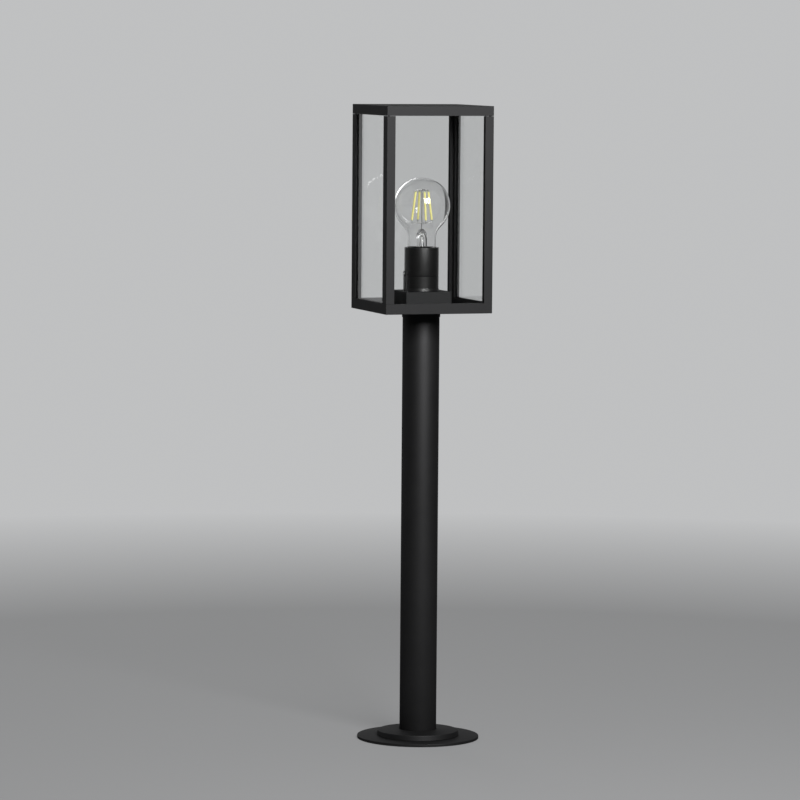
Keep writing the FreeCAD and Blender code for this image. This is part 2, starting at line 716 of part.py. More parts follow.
def make_lantern_tray():
    """The lower frame: a shallow pan whose rim is grooved for the glass."""
    blank = slab("tray_blank", "lantern_width", "tray_band", TRAY_BASE)
    base_level = reading(TRAY_BASE)
    eased = rounded(
        "tray_eased", blank, SIZE["frame_round"], lambda edge: on_outer_edge(edge, (base_level,))
    )
    pan = cut("tray_pan", eased, [slab("tray_well", f"2 * {INSIDE}", "tray_band", FLOOR_TOP)])
    bosses = [earth_boss("earth_boss", "earth_radius", FLOOR_TOP, "boss_height")]
    bosses += clamp_bosses("clamp_boss", "boss_radius", FLOOR_TOP, "boss_height")
    whole = joined("tray_with_bosses", [pan] + bosses)

    tools = [rod("tray_bore", "plug_bore / 2", "floor_thick", z=TRAY_BASE)]
    groove_base = f"{TRAY_TOP} - groove_depth"
    tools += groove_tools("tray_groove", "pane_thick + 2 * pane_gap", groove_base, "groove_depth")
    for x, y in corner_spots(CORNER):
        tools.append(countersink("post_hole", "small_screw", "tray_band", x, y, TRAY_BASE, 1))
    for x, y in corner_spots(BOX_BOSS_LINE, BOX_CORNERS):
        tools.append(countersink("box_hole", "small_screw", "floor_thick", x, y, TRAY_BASE, 1))
    for bearing in bearings(SIZE["plug_screw_count"]):
        x, y = ring_spot("plug_circle", bearing)
        tools.append(countersink("plug_hole", "plug_screw", "floor_thick", x, y, FLOOR_TOP, -1))
    for side in (-1, 1):
        tools.append(
            rod(
                "block_screw_hole",
                "small_screw / 2 + thread_gap",
                "floor_thick",
                f"{side} * way_pitch / 2",
                BLOCK_LINE,
                TRAY_BASE,
            )
        )
    thread_base = f"{BOSS_TOP} - (boss_height + floor_thick - 0.5)"
    thread_depth = "boss_height + floor_thick - 0.5"
    tools.append(
        earth_boss("earth_thread_hole", "earth_thread / 2 + thread_gap", thread_base, thread_depth)
    )
    tools += clamp_bosses(
        "clamp_thread_hole", "clamp_screw / 2 + thread_gap", thread_base, thread_depth
    )
    return sub_part("lantern_tray", cut("tray", whole, tools))


def earth_boss(name, radius, z, height):
    """A rod at the earth point."""
    return rod(name, radius, height, "-earth_offset", "-earth_offset", z)


def clamp_bosses(name, radius, z, height):
    """Rods at the two clamp screws."""
    return [
        rod(name, radius, height, "clamp_offset", f"{side} * clamp_spacing / 2 - clamp_setback", z)
        for side in (-1, 1)
    ]


def make_post(name, leg_x, leg_y, turn):
    """A slotted corner post, drawn at the +X +Y corner and turned to its own."""
    lip = f"({HALF} - outer_lip)"
    slot = f"({HALF} - outer_lip - pane_thick - 2 * pane_gap)"
    end_x = f"({HALF} - {leg_x})"
    end_y = f"({HALF} - {leg_y})"
    outline = (
        (HALF, f"{HALF} - frame_round"),
        (f"{HALF} - frame_round", HALF),
        (end_x, HALF),
        (end_x, lip),
        (INSIDE, lip),
        (INSIDE, slot),
        (end_x, slot),
        (end_x, INSIDE),
        (INSIDE, INSIDE),
        (INSIDE, end_y),
        (slot, end_y),
        (slot, INSIDE),
        (lip, INSIDE),
        (lip, end_y),
        (HALF, end_y),
    )
    blank = padded(f"{name}_blank", outline, "post_length", TRAY_TOP, {0: "frame_round"})
    pin_depth = "(pin_reach + 1)"
    pin_hole = rod(
        f"{name}_pin_hole",
        "pin_diameter / 2 + pin_gap",
        pin_depth,
        CORNER,
        CORNER,
        f"{TRAY_TOP} + post_length - {pin_depth}",
    )
    screw_hole = rod(
        f"{name}_screw_hole",
        "small_screw / 2 + thread_gap",
        "small_screw_length",
        CORNER,
        CORNER,
        TRAY_TOP,
    )
    drilled = cut(f"{name}_drilled", blank, [pin_hole, screw_hole])
    drilled.Placement = Placement(Vector(), Rotation(Vector(0, 0, 1), turn))
    return sub_part(name, drilled)


def make_posts():
    """The four posts, each with its short leg along the front or rear."""
    make_post("post_rear_right", "front_leg", "side_leg", 0)
    make_post("post_rear_left", "side_leg", "front_leg", 90)
    make_post("post_front_left", "front_leg", "side_leg", 180)
    make_post("post_front_right", "side_leg", "front_leg", 270)


def make_post_screws():
    """Screws up through the tray into the posts."""
    length = "tray_band + small_screw_length - head_sink - 1"
    face = f"{TRAY_BASE} + head_sink"
    screws = [
        countersunk_screw("post_screw", "small_screw", length, x, y, face, 1)
        for x, y in corner_spots(CORNER)
    ]
    return sub_part("post_screws", together("post_screw_set", screws))


def pane_spots():
    """Each pane's name, its sizes along X and Y, and its centre."""
    width = f"(2 * {INSIDE} - 2 * pane_end_gap)"
    return (
        ("front", width, "pane_thick", "0", f"-1 * {PANE_LINE}"),
        ("rear", width, "pane_thick", "0", PANE_LINE),
        ("left", "pane_thick", width, f"-1 * {PANE_LINE}", "0"),
        ("right", "pane_thick", width, PANE_LINE, "0"),
    )


def make_panes():
    """The four glass panes and the rubber strips that they stand on."""
    groove_base = f"({TRAY_TOP} - groove_depth)"
    base = f"({groove_base} + cushion_thick)"
    height = f"{LID_BASE} + pane_bite - {base}"
    cushions = []
    for name, along_x, along_y, x, y in pane_spots():
        sub_part(f"pane_{name}", slab(f"glass_{name}", along_x, height, base, along_y, x, y))
        cushions.append(
            slab(f"cushion_{name}", along_x, "cushion_thick", groove_base, along_y, x, y)
        )
    sub_part("pane_cushions", together("cushion_set", cushions))


def make_lid_frame():
    """The upper frame, grooved below for the glass and stepped above for the roof."""
    blank = slab("lid_blank", "lantern_width", "lid_band", LID_BASE)
    top_level = reading(LID_TOP)
    eased = rounded(
        "lid_eased", blank, SIZE["frame_round"], lambda edge: on_outer_edge(edge, (top_level,))
    )
    opening = slab("lid_opening", f"2 * {INSIDE}", "lid_band", LID_BASE)
    frame = cut("lid_ring", eased, [opening])
    pads = [
        slab("lid_pad", "corner_pad + 1", "corner_pad_thick", f"{ROOF_BASE} - corner_pad_thick",
             x=f"{across} * ({PAD_CENTRE} + 0.5)", y=f"{along} * ({PAD_CENTRE} + 0.5)")
        for across, along in CORNERS
    ]
    whole = joined("lid_with_pads", [frame] + pads)
    tools = [slab("roof_step", "lantern_width - 2 * roof_ledge", "roof_thick", ROOF_BASE)]
    groove = "pane_thick + 2 * lid_groove_gap"
    tools += groove_tools("lid_groove", groove, LID_BASE, "groove_depth")
    for x, y in corner_spots(CORNER):
        tools.append(rod("lid_pin_hole", "pin_diameter / 2 + thread_gap", "pin_seat", x, y, LID_BASE))
    for x, y in corner_spots(PAD_CENTRE):
        tools.append(
            rod("roof_thread", "small_screw / 2 + thread_gap", "corner_pad_thick", x, y,
                f"{ROOF_BASE} - corner_pad_thick")
        )
    return sub_part("lid_frame", cut("lid", whole, tools))


def make_roof_plate():
    """The flat roof, let into the lid."""
    width = "lantern_width - 2 * roof_ledge - 2 * roof_gap"
    blank = slab("roof_blank", width, "roof_thick", ROOF_BASE)
    tools = [
        countersink("roof_hole", "small_screw", "roof_thick", x, y, LID_TOP, -1)
        for x, y in corner_spots(PAD_CENTRE)
    ]
    return sub_part("roof_plate", cut("roof", blank, tools))


def make_roof_screws():
    """Screws through the roof into the lid's corner pads."""
    screws = [
        countersunk_screw(
            "roof_screw", "small_screw", "roof_screw_length", x, y, f"{LID_TOP} - head_sink", -1
        )
        for x, y in corner_spots(PAD_CENTRE)
    ]
    return sub_part("roof_screws", together("roof_screw_set", screws))


def make_lid_pins():
    """Locating pins, tight in the lid and free in the posts."""
    pins = []
    tip = "(pin_diameter / 2)"
    for x, y in corner_spots(CORNER):
        straight = rod(
            "lid_pin_body",
            "pin_diameter / 2",
            f"pin_reach + pin_seat - {tip}",
            x,
            y,
            f"{LID_BASE} - pin_reach + {tip}",
        )
        nose = cone(
            "lid_pin_nose", "pin_diameter / 4", "pin_diameter / 2", tip, x, y,
            f"{LID_BASE} - pin_reach",
        )
        pins.append(joined("lid_pin", [straight, nose]))
    return sub_part("lid_pins", together("lid_pin_set", pins))


# ---- Terminal box -------------------------------------------------------------------------------


def make_terminal_box():
    """The square box on the tray floor, open below, which carries the lampholder."""
    blank = slab("box_blank", "box_width", "box_height", FLOOR_TOP)
    eased = rounded("box_eased", blank, SIZE["box_round"], lambda edge: edge.BoundBox.ZLength > 1)
    inside = slab("box_inside", "box_width - 2 * box_wall", "box_height - box_wall", FLOOR_TOP)
    shell = cut("box_shell", eased, [inside])
    spots = corner_spots(BOX_BOSS_LINE, BOX_CORNERS)
    bosses = [rod("box_boss_rod", "box_boss", "box_height - box_wall", x, y, FLOOR_TOP) for x, y in spots]
    tools = [rod("box_nipple_hole", "nipple_diameter / 2 + screw_gap", "box_height", z=FLOOR_TOP)]
    for x, y in spots:
        radius = "small_screw / 2 + thread_gap"
        tools.append(rod("box_thread", radius, "small_screw_length", x, y, FLOOR_TOP))
    return sub_part("terminal_box", cut("box", joined("box_with_bosses", [shell] + bosses), tools))


def make_box_screws():
    """Screws up through the tray into the box."""
    length = "floor_thick + small_screw_length - head_sink - 1"
    face = f"{TRAY_BASE} + head_sink"
    screws = [
        countersunk_screw("box_screw", "small_screw", length, x, y, face, 1)
        for x, y in corner_spots(BOX_BOSS_LINE, BOX_CORNERS)
    ]
    return sub_part("box_screws", together("box_screw_set", screws))


def way_lines():
    """The x formulas of the terminal block's three ways."""
    return [f"{side} * way_pitch" for side in (-1, 0, 1)]


def make_terminal_block():
    """The three-way connector's plastic body."""
    blank = slab("block_blank", "block_length", "block_height", FLOOR_TOP, "block_depth", y=BLOCK_LINE)
    lengthways = Rotation(Vector(1, 0, 0), -90)
    front = f"{BLOCK_LINE} - block_depth / 2"
    tools = []
    for x in way_lines():
        tools.append(
            rod("way_hole", "way_tube / 2 + thread_gap", "block_depth", x, front, WAY_LEVEL, lengthways)
        )
        well = "way_screw / 2 + screw_gap"
        tools.append(rod("way_well", well, "block_height / 2", x, BLOCK_LINE, WAY_LEVEL))
    for side in (-1, 1):
        tools.append(
            rod("block_hole", "small_screw / 2 + screw_gap", "block_height",
                f"{side} * way_pitch / 2", BLOCK_LINE, FLOOR_TOP)
        )
    return sub_part("terminal_block", cut("block", blank, tools))


def make_terminal_tubes():
    """The brass tubes in the block, each tapped from above."""
    lengthways = Rotation(Vector(1, 0, 0), -90)
    front = f"{BLOCK_LINE} - block_depth / 2"
    tubes = []
    for x in way_lines():
        outside = rod("tube_blank", "way_tube / 2", "block_depth", x, front, WAY_LEVEL, lengthways)
        bore = rod("tube_bore", "way_bore / 2", "block_depth", x, front, WAY_LEVEL, lengthways)
        tapped = rod("tube_thread", "way_screw / 2 + thread_gap", "way_tube", x, BLOCK_LINE, WAY_LEVEL)
        tubes.append(cut("terminal_tube", outside, [bore, tapped]))
    return sub_part("terminal_tubes", together("terminal_tube_set", tubes))


def make_terminal_screws():
    """Grub screws that press the leads in their tubes."""
    screws = []
    base = f"({WAY_LEVEL} + lead_diameter / 2 + thread_gap)"
    height = f"({BLOCK_TOP} - 0.5 - {base})"
    for x in way_lines():
        blank = rod("way_screw_blank", "way_screw / 2", height, x, BLOCK_LINE, base)
        slot = slab("way_slot", "way_screw", "0.6", f"{BLOCK_TOP} - 1.1", "0.6", x, BLOCK_LINE)
        screws.append(cut("terminal_screw", blank, [slot]))
    return sub_part("terminal_screws", together("terminal_screw_set", screws))


def make_block_screws():
    """Round-headed screws that hold the block to the tray floor."""
    screws = [
        pan_screw("block_screw", "small_screw", "block_height + floor_thick - 0.5",
                  f"{side} * way_pitch / 2", BLOCK_LINE, BLOCK_TOP)
        for side in (-1, 1)
    ]
    return sub_part("block_screws", together("block_screw_pair", screws))


def make_cable_clamp():
    """The saddle over a supply cable, on two bosses."""
    centre = "-clamp_setback"
    blank = slab("clamp_blank", "clamp_width", "clamp_thick", BOSS_TOP, "clamp_length",
                 "clamp_offset", centre)
    arch = rod("clamp_arch", "grommet_bore / 2", "clamp_width", "clamp_offset - clamp_width / 2",
               centre, f"{BOSS_TOP} + 0.6", outward(0))
    holes = clamp_bosses("clamp_hole", "clamp_screw / 2 + screw_gap", BOSS_TOP, "clamp_thick")
    return sub_part("cable_clamp", cut("clamp", blank, [arch] + holes))


def make_clamp_screws():
    """The two screws of the saddle."""
    screws = [
        pan_screw("clamp_screw_body", "clamp_screw", "clamp_thick + boss_height + floor_thick - 0.8",
                  "clamp_offset", f"{side} * clamp_spacing / 2 - clamp_setback",
                  f"{BOSS_TOP} + clamp_thick")
        for side in (-1, 1)
    ]
    return sub_part("clamp_screws", together("clamp_screw_pair", screws))


def make_earth_point():
    """The ring tag on the tray's earth boss and its screw."""
    ring = earth_boss("tag_ring", "earth_radius", BOSS_TOP, "tag_thick")
    barrel_start = "-earth_offset + earth_radius - 1"
    lengthways = Rotation(Vector(1, 0, 0), -90)
    barrel = rod("tag_barrel_rod", "tag_barrel / 2", "tag_barrel_length + 1", "-earth_offset",
                 barrel_start, TAG_LEVEL, lengthways)
    head_room = earth_boss("tag_head_room", "earth_thread * 0.9 + screw_gap", BOSS_TOP, "tag_barrel")
    head_room_above = put(head_room, "-earth_offset", "-earth_offset", f"{BOSS_TOP} + tag_thick")
    hole = earth_boss("tag_hole", "earth_thread / 2 + screw_gap", BOSS_TOP, "tag_thick")
    lead_hole = rod("tag_lead_hole", "lead_diameter / 2 + thread_gap", "tag_barrel_length / 2",
                    "-earth_offset", "-earth_offset + earth_radius + tag_barrel_length / 2",
                    TAG_LEVEL, lengthways)
    tag = cut("ring_tag", joined("tag_blank", [ring, barrel]), [head_room_above, hole, lead_hole])
    sub_part("earth_tag", tag)
    screw = pan_screw("earth_screw_body", "earth_thread", "boss_height + floor_thick - 0.7 + tag_thick",
                      "-earth_offset", "-earth_offset", f"{BOSS_TOP} + tag_thick")
    sub_part("earth_screw", screw)


# ---- Internal leads -----------------------------------------------------------------------------


def bent_path(points):
    """Straight runs through the points, joined by arcs as large as the runs allow."""
    edges = []
    start = points[0]
    for before, corner, after in zip(points, points[1:], points[2:]):
        back = before - corner
        ahead = after - corner
        half_turn = (math.pi - back.getAngle(ahead)) / 2
        set_off = 0.45 * min(back.Length, ahead.Length)
        radius = set_off / math.tan(half_turn)
        first = corner + back.normalize() * set_off
        last = corner + ahead.normalize() * set_off
        to_centre = (back + ahead).normalize()
        middle = corner + to_centre * (radius / math.cos(half_turn) - radius)
        edges.append(Part.LineSegment(start, first).toShape())
        edges.append(Part.Arc(first, middle, last).toShape())
        start = last
    edges.append(Part.LineSegment(start, points[-1]).toShape())
    return Part.Wire(edges)


def make_lead(name, route):
    """An internal lead along its route, given as triples of formulas."""
    points = [Vector(*(reading(text) for text in spot)) for spot in route]
    path = bent_path(points)
    ring = Part.Wire(Part.Circle(points[0], points[1] - points[0], SIZE["lead_diameter"] / 2).toShape())
    feature = doc.addObject("Part::Feature", f"{name}_body")
    feature.Shape = path.makePipeShell([ring], True, False)
    section = math.pi * (SIZE["lead_diameter"] / 2) ** 2
    if abs(feature.Shape.Volume - section * path.Length) > 0.02 * feature.Shape.Volume:
        raise RuntimeError(f"{name} is not as long as its route")
    feature.Placement = Placement()
    return sub_part(name, feature)


def make_leads():
    """The two leads up to the lampholder and the one to the earth point."""
    inside_tube = f"{BLOCK_LINE} - 2"
    for name, side in (("lead_live", -1), ("lead_neutral", 1)):
        nipple_line = f"{side} * lead_spacing / 2"
        make_lead(
            name,
            (
                (f"{side} * way_pitch", inside_tube, WAY_LEVEL),
                (f"{side} * way_pitch", "4", f"{WAY_LEVEL} + 1"),
                (nipple_line, "0", f"{BOX_TOP} - box_wall - nipple_below - 3.5"),
                (nipple_line, "0", f"{CORE_BASE} + core_recess + 3"),
            ),
        )
    barrel_end = "-earth_offset + earth_radius + tag_barrel_length / 2 + 1"
    make_lead(
        "lead_earth",
        (
            ("-earth_offset", barrel_end, TAG_LEVEL),
            ("-earth_offset", "0", TAG_LEVEL),
            ("0", "1", WAY_LEVEL),
            ("0", inside_tube, WAY_LEVEL),
        ),
    )


# ---- Lampholder ---------------------------------------------------------------------------------


def make_nipple():
    """The threaded tube through the box's top, and its nut."""
    base = f"({BOX_TOP} - box_wall - nipple_below)"
    height = f"{BOX_TOP} + nipple_above - {base}"
    blank = rod("nipple_blank", "nipple_diameter / 2", height, z=base)
    bore = rod("nipple_hole", "nipple_bore / 2", height, z=base)
    sub_part("holder_nipple", cut("nipple", blank, [bore]))
    nut_base = f"{BOX_TOP} - box_wall - nut_height"
    nut = hexagon("nut_blank", "nut_corners", "nut_height", z=nut_base)
    thread = rod("nut_thread", "nipple_diameter / 2 + thread_gap", "nut_height", z=nut_base)
    sub_part("nipple_nut", cut("nut", nut, [thread]))


def make_holder_cap():
    """The lampholder's lower half, with a neck inside the upper half and a locking tab."""
    cup = rod("cap_cup", HOLDER_RADIUS, "holder_cap_height", z=BOX_TOP)
    neck = rod("cap_neck", HOLDER_NECK_RADIUS, "holder_cap_height + holder_neck", z=BOX_TOP)
    sweep = rod("tab_sweep", f"{HOLDER_RADIUS} + tab_proud", "tab_height", z=BOX_TOP)
    side = block(
        "tab_side",
        (f"{HOLDER_RADIUS}", "tab_width", "tab_height"),
        (f"-2 * {HOLDER_RADIUS} + 3", "-tab_width / 2", BOX_TOP),
    )
    skirt_room = rod("tab_relief", f"{HOLDER_RADIUS} + thread_gap", "tab_height",
                     z=f"{HOLDER_JOINT}")
    tab = cut("tab", shared("tab_blank", sweep, side), [skirt_room])
    tools = [
        rod("cap_inside", HOLDER_NECK_BORE, "holder_cap_height + holder_neck", z=CORE_BASE),
        rod("cap_thread", "nipple_diameter / 2 + thread_gap", "holder_floor", z=BOX_TOP),
        lock_line("tab_hole", "lock_screw / 2 + screw_gap", "tab_proud + 1"),
    ]
    return sub_part("holder_cap", cut("holder_lower", joined("cap_whole", [cup, neck, tab]), tools))


def lock_line(name, radius, length, start=f"{HOLDER_RADIUS}"):
    """A rod along the lock screw, running outwards on the left side."""
    return rod(name, radius, length, f"-({start})", "0", f"{BOX_TOP} + lock_screw_height",
               turn=outward(180))


def make_holder_skirt():
    """The lampholder's upper half, a plain tube with a rounded rim."""
    base = f"({HOLDER_JOINT} + holder_joint)"
    outline = (
        (SKIRT_BORE, base),
        (HOLDER_RADIUS, base),
        (HOLDER_RADIUS, f"{HOLDER_TOP} - skirt_round"),
        (f"{HOLDER_RADIUS} - skirt_round", HOLDER_TOP),
        (SKIRT_BORE, HOLDER_TOP),
    )
    blank = turned("skirt_blank", outline, {2: "skirt_round"})
    hole = lock_line("skirt_hole", "lock_screw / 2 + thread_gap", "skirt_wall + 2", f"{SKIRT_BORE} - 1")
    return sub_part("holder_skirt", cut("skirt", blank, [hole]))


def make_lock_screw():
    """The small screw through the tab that locks the two halves."""
    seat = f"({HOLDER_RADIUS} + tab_proud)"
    shank = lock_line("lock_shank", "lock_screw / 2", f"{seat} - {SKIRT_BORE} - 0.2", f"{SKIRT_BORE} + 0.2")
    head = lock_line("lock_head_rod", "lock_head / 2", "lock_screw / 2", seat)
    slot = block(
        "lock_slot",
        ("lock_screw", "lock_head", "lock_screw * 0.3"),
        (f"-{seat} - lock_screw * 1.3", "-lock_head / 2",
         f"{BOX_TOP} + lock_screw_height - lock_screw * 0.15"),
    )
    return sub_part("lock_screw", cut("lock", joined("lock_blank", [shank, head]), [slot]))


def make_holder_core():
    """The insulating core, recessed below for the nipple and drilled for the leads."""
    blank = rod("core_blank", f"{HOLDER_NECK_BORE} - core_gap", "core_height", z=CORE_BASE)
    tools = [rod("core_recess_rod", "nipple_diameter / 2 + 1.5", "core_recess", z=CORE_BASE)]
    for side in (-1, 1):
        tools.append(
            rod("core_lead_hole", "lead_diameter / 2 + screw_gap", "core_height - 3",
                f"{side} * lead_spacing / 2", "0", CORE_BASE)
        )
    return sub_part("holder_core", cut("core", blank, tools))


def make_screw_shell():
    """The brass sleeve with rolled rings, which takes the bulb's cap."""
    bore = "(shell_bore / 2)"
    outside = f"({bore} + shell_sheet)"
    floor_top = f"({CORE_TOP} + shell_sheet)"
    inner_wave = [(bore, floor_top)]
    outer_wave = [(outside, CORE_TOP)]
    for ring in range(int(SIZE["thread_turns"])):
        level = f"({floor_top} + ({ring} + 0.75) * thread_pitch)"
        crest = f"({level} + thread_pitch / 2)"
        inner_wave += [(bore, level), (f"{bore} + thread_wave", crest)]
        outer_wave += [(outside, level), (f"{outside} + thread_wave", crest)]
    top = f"({CORE_TOP} + shell_height)"
    inner_wave.append((bore, top))
    outer_wave.append((outside, top))
    outline = [("shell_mouth / 2", CORE_TOP)] + outer_wave + inner_wave[::-1]
    outline.append(("shell_mouth / 2", floor_top))
    return sub_part("screw_shell", turned("sleeve", outline))


def make_centre_contact():
    """The sprung tongue under the bulb's tip, drawn from the side."""
    top = f"{CORE_TOP} + contact_rise"
    outline = (
        ("-contact_reach", CORE_TOP),
        ("-contact_reach / 3", CORE_TOP),
        ("contact_reach / 4", top),
        ("contact_reach", top),
        ("contact_reach", f"{top} + contact_sheet"),
        ("contact_reach / 5", f"{top} + contact_sheet"),
        ("-contact_reach / 2.6", f"{CORE_TOP} + contact_sheet"),
        ("-contact_reach", f"{CORE_TOP} + contact_sheet"),
    )
    body = doc.addObject("PartDesign::Body", "contact_leaf")
    sketch = attached_sketch(body, "contact_outline", "XZ_Plane")
    draw_outline(sketch, outline)
    pad = body.newObject("PartDesign::Pad", "contact_pad")
    pad.Profile = sketch
    pad.SideType = "Symmetric"
    tie(pad, "Length", "contact_width")
    return sub_part("centre_contact", body)


# ---- Bulb ---------------------------------------------------------------------------------------


def make_bulb_tip():
    """The contact at the bulb's foot."""
    tip = cone("tip_cone", "tip_radius * 0.7", "tip_radius", "tip_height", z=BULB_BASE)
    return sub_part("bulb_tip", tip)


def make_bulb_insulator():
    """The black glass ring between the tip and the cap."""
    base = f"({BULB_BASE} + tip_height + turn_gap)"
    body = cone("insulator_cone", "tip_radius + 0.6", "cap_radius - cap_wave - 0.8",
                "insulator_height", z=base)
    return sub_part("bulb_insulator", body)


def make_bulb_cap():
    """The bulb's threaded cap, with its thread as rings."""
    sleeve_base = f"({CAP_TOP} - cap_sleeve)"
    root = "(cap_radius - cap_wave)"
    lip = f"({root} - 1.4)"
    lowest = f"({CAP_BASE} + thread_pitch / 4)"
    outer_wave = [(root, CAP_BASE), (root, lowest)]
    inner_wave = [(f"{root} - cap_sheet", f"{CAP_BASE} + cap_sheet")]
    inner_wave.append((f"{root} - cap_sheet", lowest))
    for ring in range(4):
        crest = f"({lowest} + ({ring} + 0.5) * thread_pitch)"
        valley = f"({lowest} + ({ring} + 1) * thread_pitch)"
        outer_wave += [("cap_radius", crest), (root, valley)]
        inner_wave += [("cap_radius - cap_sheet", crest), (f"{root} - cap_sheet", valley)]
    outer_wave += [("cap_radius", sleeve_base), ("cap_radius", CAP_TOP)]
    inner_wave += [("cap_radius - cap_sheet", sleeve_base), ("cap_radius - cap_sheet", CAP_TOP)]
    outline = [(lip, CAP_BASE)] + outer_wave + inner_wave[::-1]
    outline.append((lip, f"{CAP_BASE} + cap_sheet"))
    return sub_part("bulb_cap", turned("threaded_cap", outline))


# The bulb's outline: a straight neck, a hollow that blends out of it, and the globe.
BLEND_REACH = "(neck_radius + neck_blend)"
BLEND_SPAN = "(globe_radius + neck_blend)"
BLEND_DROP = f"sqrt({BLEND_SPAN} * {BLEND_SPAN} - {BLEND_REACH} * {BLEND_REACH})"
NECK_LEVEL = f"({GLOBE_LEVEL} - {BLEND_DROP})"
NECK_BASE = f"({CAP_TOP} - 7.5)"
CAP_NECK = "(cap_radius - cap_sheet - glue_gap)"


def globe_joint(radius):
    """Where a globe of the given radius meets the hollow below it."""
    share = f"(({radius}) / {BLEND_SPAN})"
    return f"{BLEND_REACH} * {share}", f"{GLOBE_LEVEL} - {BLEND_DROP} * {share}"


def make_bulb_glass():
    """The clear envelope, open below where the cap holds it."""
    wall = "glass_wall"
    flare_base = f"({CAP_TOP} + 0.5)"
    flare_top = f"({CAP_TOP} + 4)"
    outline = (
        (f"{CAP_NECK} - {wall} - cap_wave", NECK_BASE),
        (f"{CAP_NECK} - cap_wave", NECK_BASE),
        (f"{CAP_NECK} - cap_wave", flare_base),
        ("neck_radius", flare_top),
        ("neck_radius", NECK_LEVEL),
        globe_joint("globe_radius"),
        ("0", BULB_TOP),
        ("0", f"{BULB_TOP} - {wall}"),
        globe_joint(f"globe_radius - {wall}"),
        (f"neck_radius - {wall}", NECK_LEVEL),
        (f"neck_radius - {wall}", f"{flare_top} + {wall} / 2"),
        (f"{CAP_NECK} - {wall} - cap_wave", f"{flare_base} + {wall} / 2"),
    )
    curves = {
        4: "-neck_blend",
        5: "globe_radius",
        7: f"-(globe_radius - {wall})",
        8: f"(neck_blend + {wall})",
    }
    return sub_part("bulb_glass", turned("envelope", outline, curves))


def make_bulb_stem():
    """The hollow glass stem inside the neck, closed where the wires leave it."""
    foot = f"({CAP_NECK} - glass_wall - cap_wave - glue_gap)"
    tube_top = f"({NECK_BASE} + stem_height - 5)"
    outline = (
        (f"{foot} - glass_wall", NECK_BASE),
        (foot, NECK_BASE),
        ("stem_radius + 0.6", f"{NECK_BASE} + 5"),
        ("stem_radius", f"{NECK_BASE} + 9"),
        ("stem_radius", tube_top),
        ("stem_radius / 4", f"{NECK_BASE} + stem_height"),
        ("0", f"{NECK_BASE} + stem_height"),
        ("0", f"{tube_top} + 1"),
        ("stem_radius - glass_wall", f"{tube_top} - 1"),
        ("stem_radius - glass_wall", f"{NECK_BASE} + 9"),
        ("stem_radius + 0.6 - glass_wall", f"{NECK_BASE} + 5.5"),
    )
    return sub_part("bulb_stem", turned("stem", outline))


FILAMENT_BASE = f"({BULB_TOP} - filament_drop)"


def leaning(bearing, lean):
    """The turn that leans an upright rod towards the centre at a bearing."""
    return Rotation(Vector(0, 0, 1), bearing) * Rotation(Vector(0, 1, 0), -lean)


def filament_bearings():
    """The bearings of the lit rods."""
    return bearings(SIZE["filament_count"], SIZE["filament_angle"])


def make_led_filaments():
    """The lit rods, leaning together towards the top."""
    rods = []
    for bearing in filament_bearings():
        x, y = ring_spot("2 * filament_low_radius", bearing)
        turn = leaning(bearing, SIZE["filament_lean"])
        rods.append(
            rod("filament", "filament_diameter / 2", "filament_length", x, y, FILAMENT_BASE, turn)
        )
    return sub_part("led_filaments", together("filament_set", rods))


def make_filament_wires():
    """The centre post, and the wires from it to the ends of the lit rods."""
    lean = math.radians(SIZE["filament_lean"])
    post_base = f"({NECK_BASE} + stem_height + wire_gap)"
    top_level = f"({FILAMENT_BASE} + filament_length * {math.cos(lean):.6f} + filament_diameter / 4"
    top_level += " + wire_radius + wire_gap)"
    top_radius = f"(filament_low_radius - filament_length * {math.sin(lean):.6f})"
    post_height = f"{top_level} + 3 * wire_radius - {post_base}"
    wires = [rod("centre_post", "1.8 * wire_radius", post_height, z=post_base)]
    low_radius = "(filament_low_radius + 0.3)"
    rise = reading(f"{FILAMENT_BASE} - wire_gap - filament_diameter / 4 - wire_radius - {post_base} - 1")
    reach = reading(low_radius)
    slope = math.degrees(math.atan2(reach, rise))
    for bearing in filament_bearings():
        flat = outward(bearing)
        wires.append(rod("top_wire", "wire_radius", top_radius, z=top_level, turn=flat))
        upward = Rotation(Vector(0, 0, 1), bearing) * Rotation(Vector(0, 1, 0), slope)
        length = str(round(math.hypot(reach, rise), 4))
        wires.append(rod("low_wire", "wire_radius", length, z=f"{post_base} + 1", turn=upward))
    return sub_part("filament_wires", joined("wire_set", wires))


# ---- Whole lamp ---------------------------------------------------------------------------------


def check_objects():
    """Stop if any object failed or any sub-part has no sound shape."""
    for thing in doc.Objects:
        if "Invalid" in thing.State or "Error" in thing.State:
            raise RuntimeError(f"{thing.Name} failed: {thing.State}")
    for piece in pieces:
        if piece.Shape.isNull() or not piece.Shape.isValid():
            raise RuntimeError(f"{piece.Label} has no sound shape")
        if not piece.Shape.Solids:
            raise RuntimeError(f"{piece.Label} has no solid")


def build_foot_and_column():
    """The foot, the column and what joins them to the lantern."""
    make_base_plate()
    make_column_socket()
    make_socket_screws()
    make_cable_grommet()
    make_base_cover()
    make_column()
    make_head_spigot()
    make_spigot_screws()
    make_head_set_screws()


def build_lantern():
    """The frames, posts, glass and roof."""
    make_lantern_tray()
    make_posts()
    make_post_screws()
    make_panes()
    make_lid_frame()
    make_roof_plate()
    make_roof_screws()
    make_lid_pins()


def build_electrics():
    """The terminal box, its contents and the lampholder."""
    make_terminal_box()
    make_box_screws()
    make_terminal_block()
    make_terminal_tubes()
    make_terminal_screws()
    make_block_screws()
    make_cable_clamp()
    make_clamp_screws()
    make_earth_point()
    make_leads()
    make_nipple()
    make_holder_cap()
    make_holder_skirt()
    make_lock_screw()
    make_holder_core()
    make_screw_shell()
    make_centre_contact()


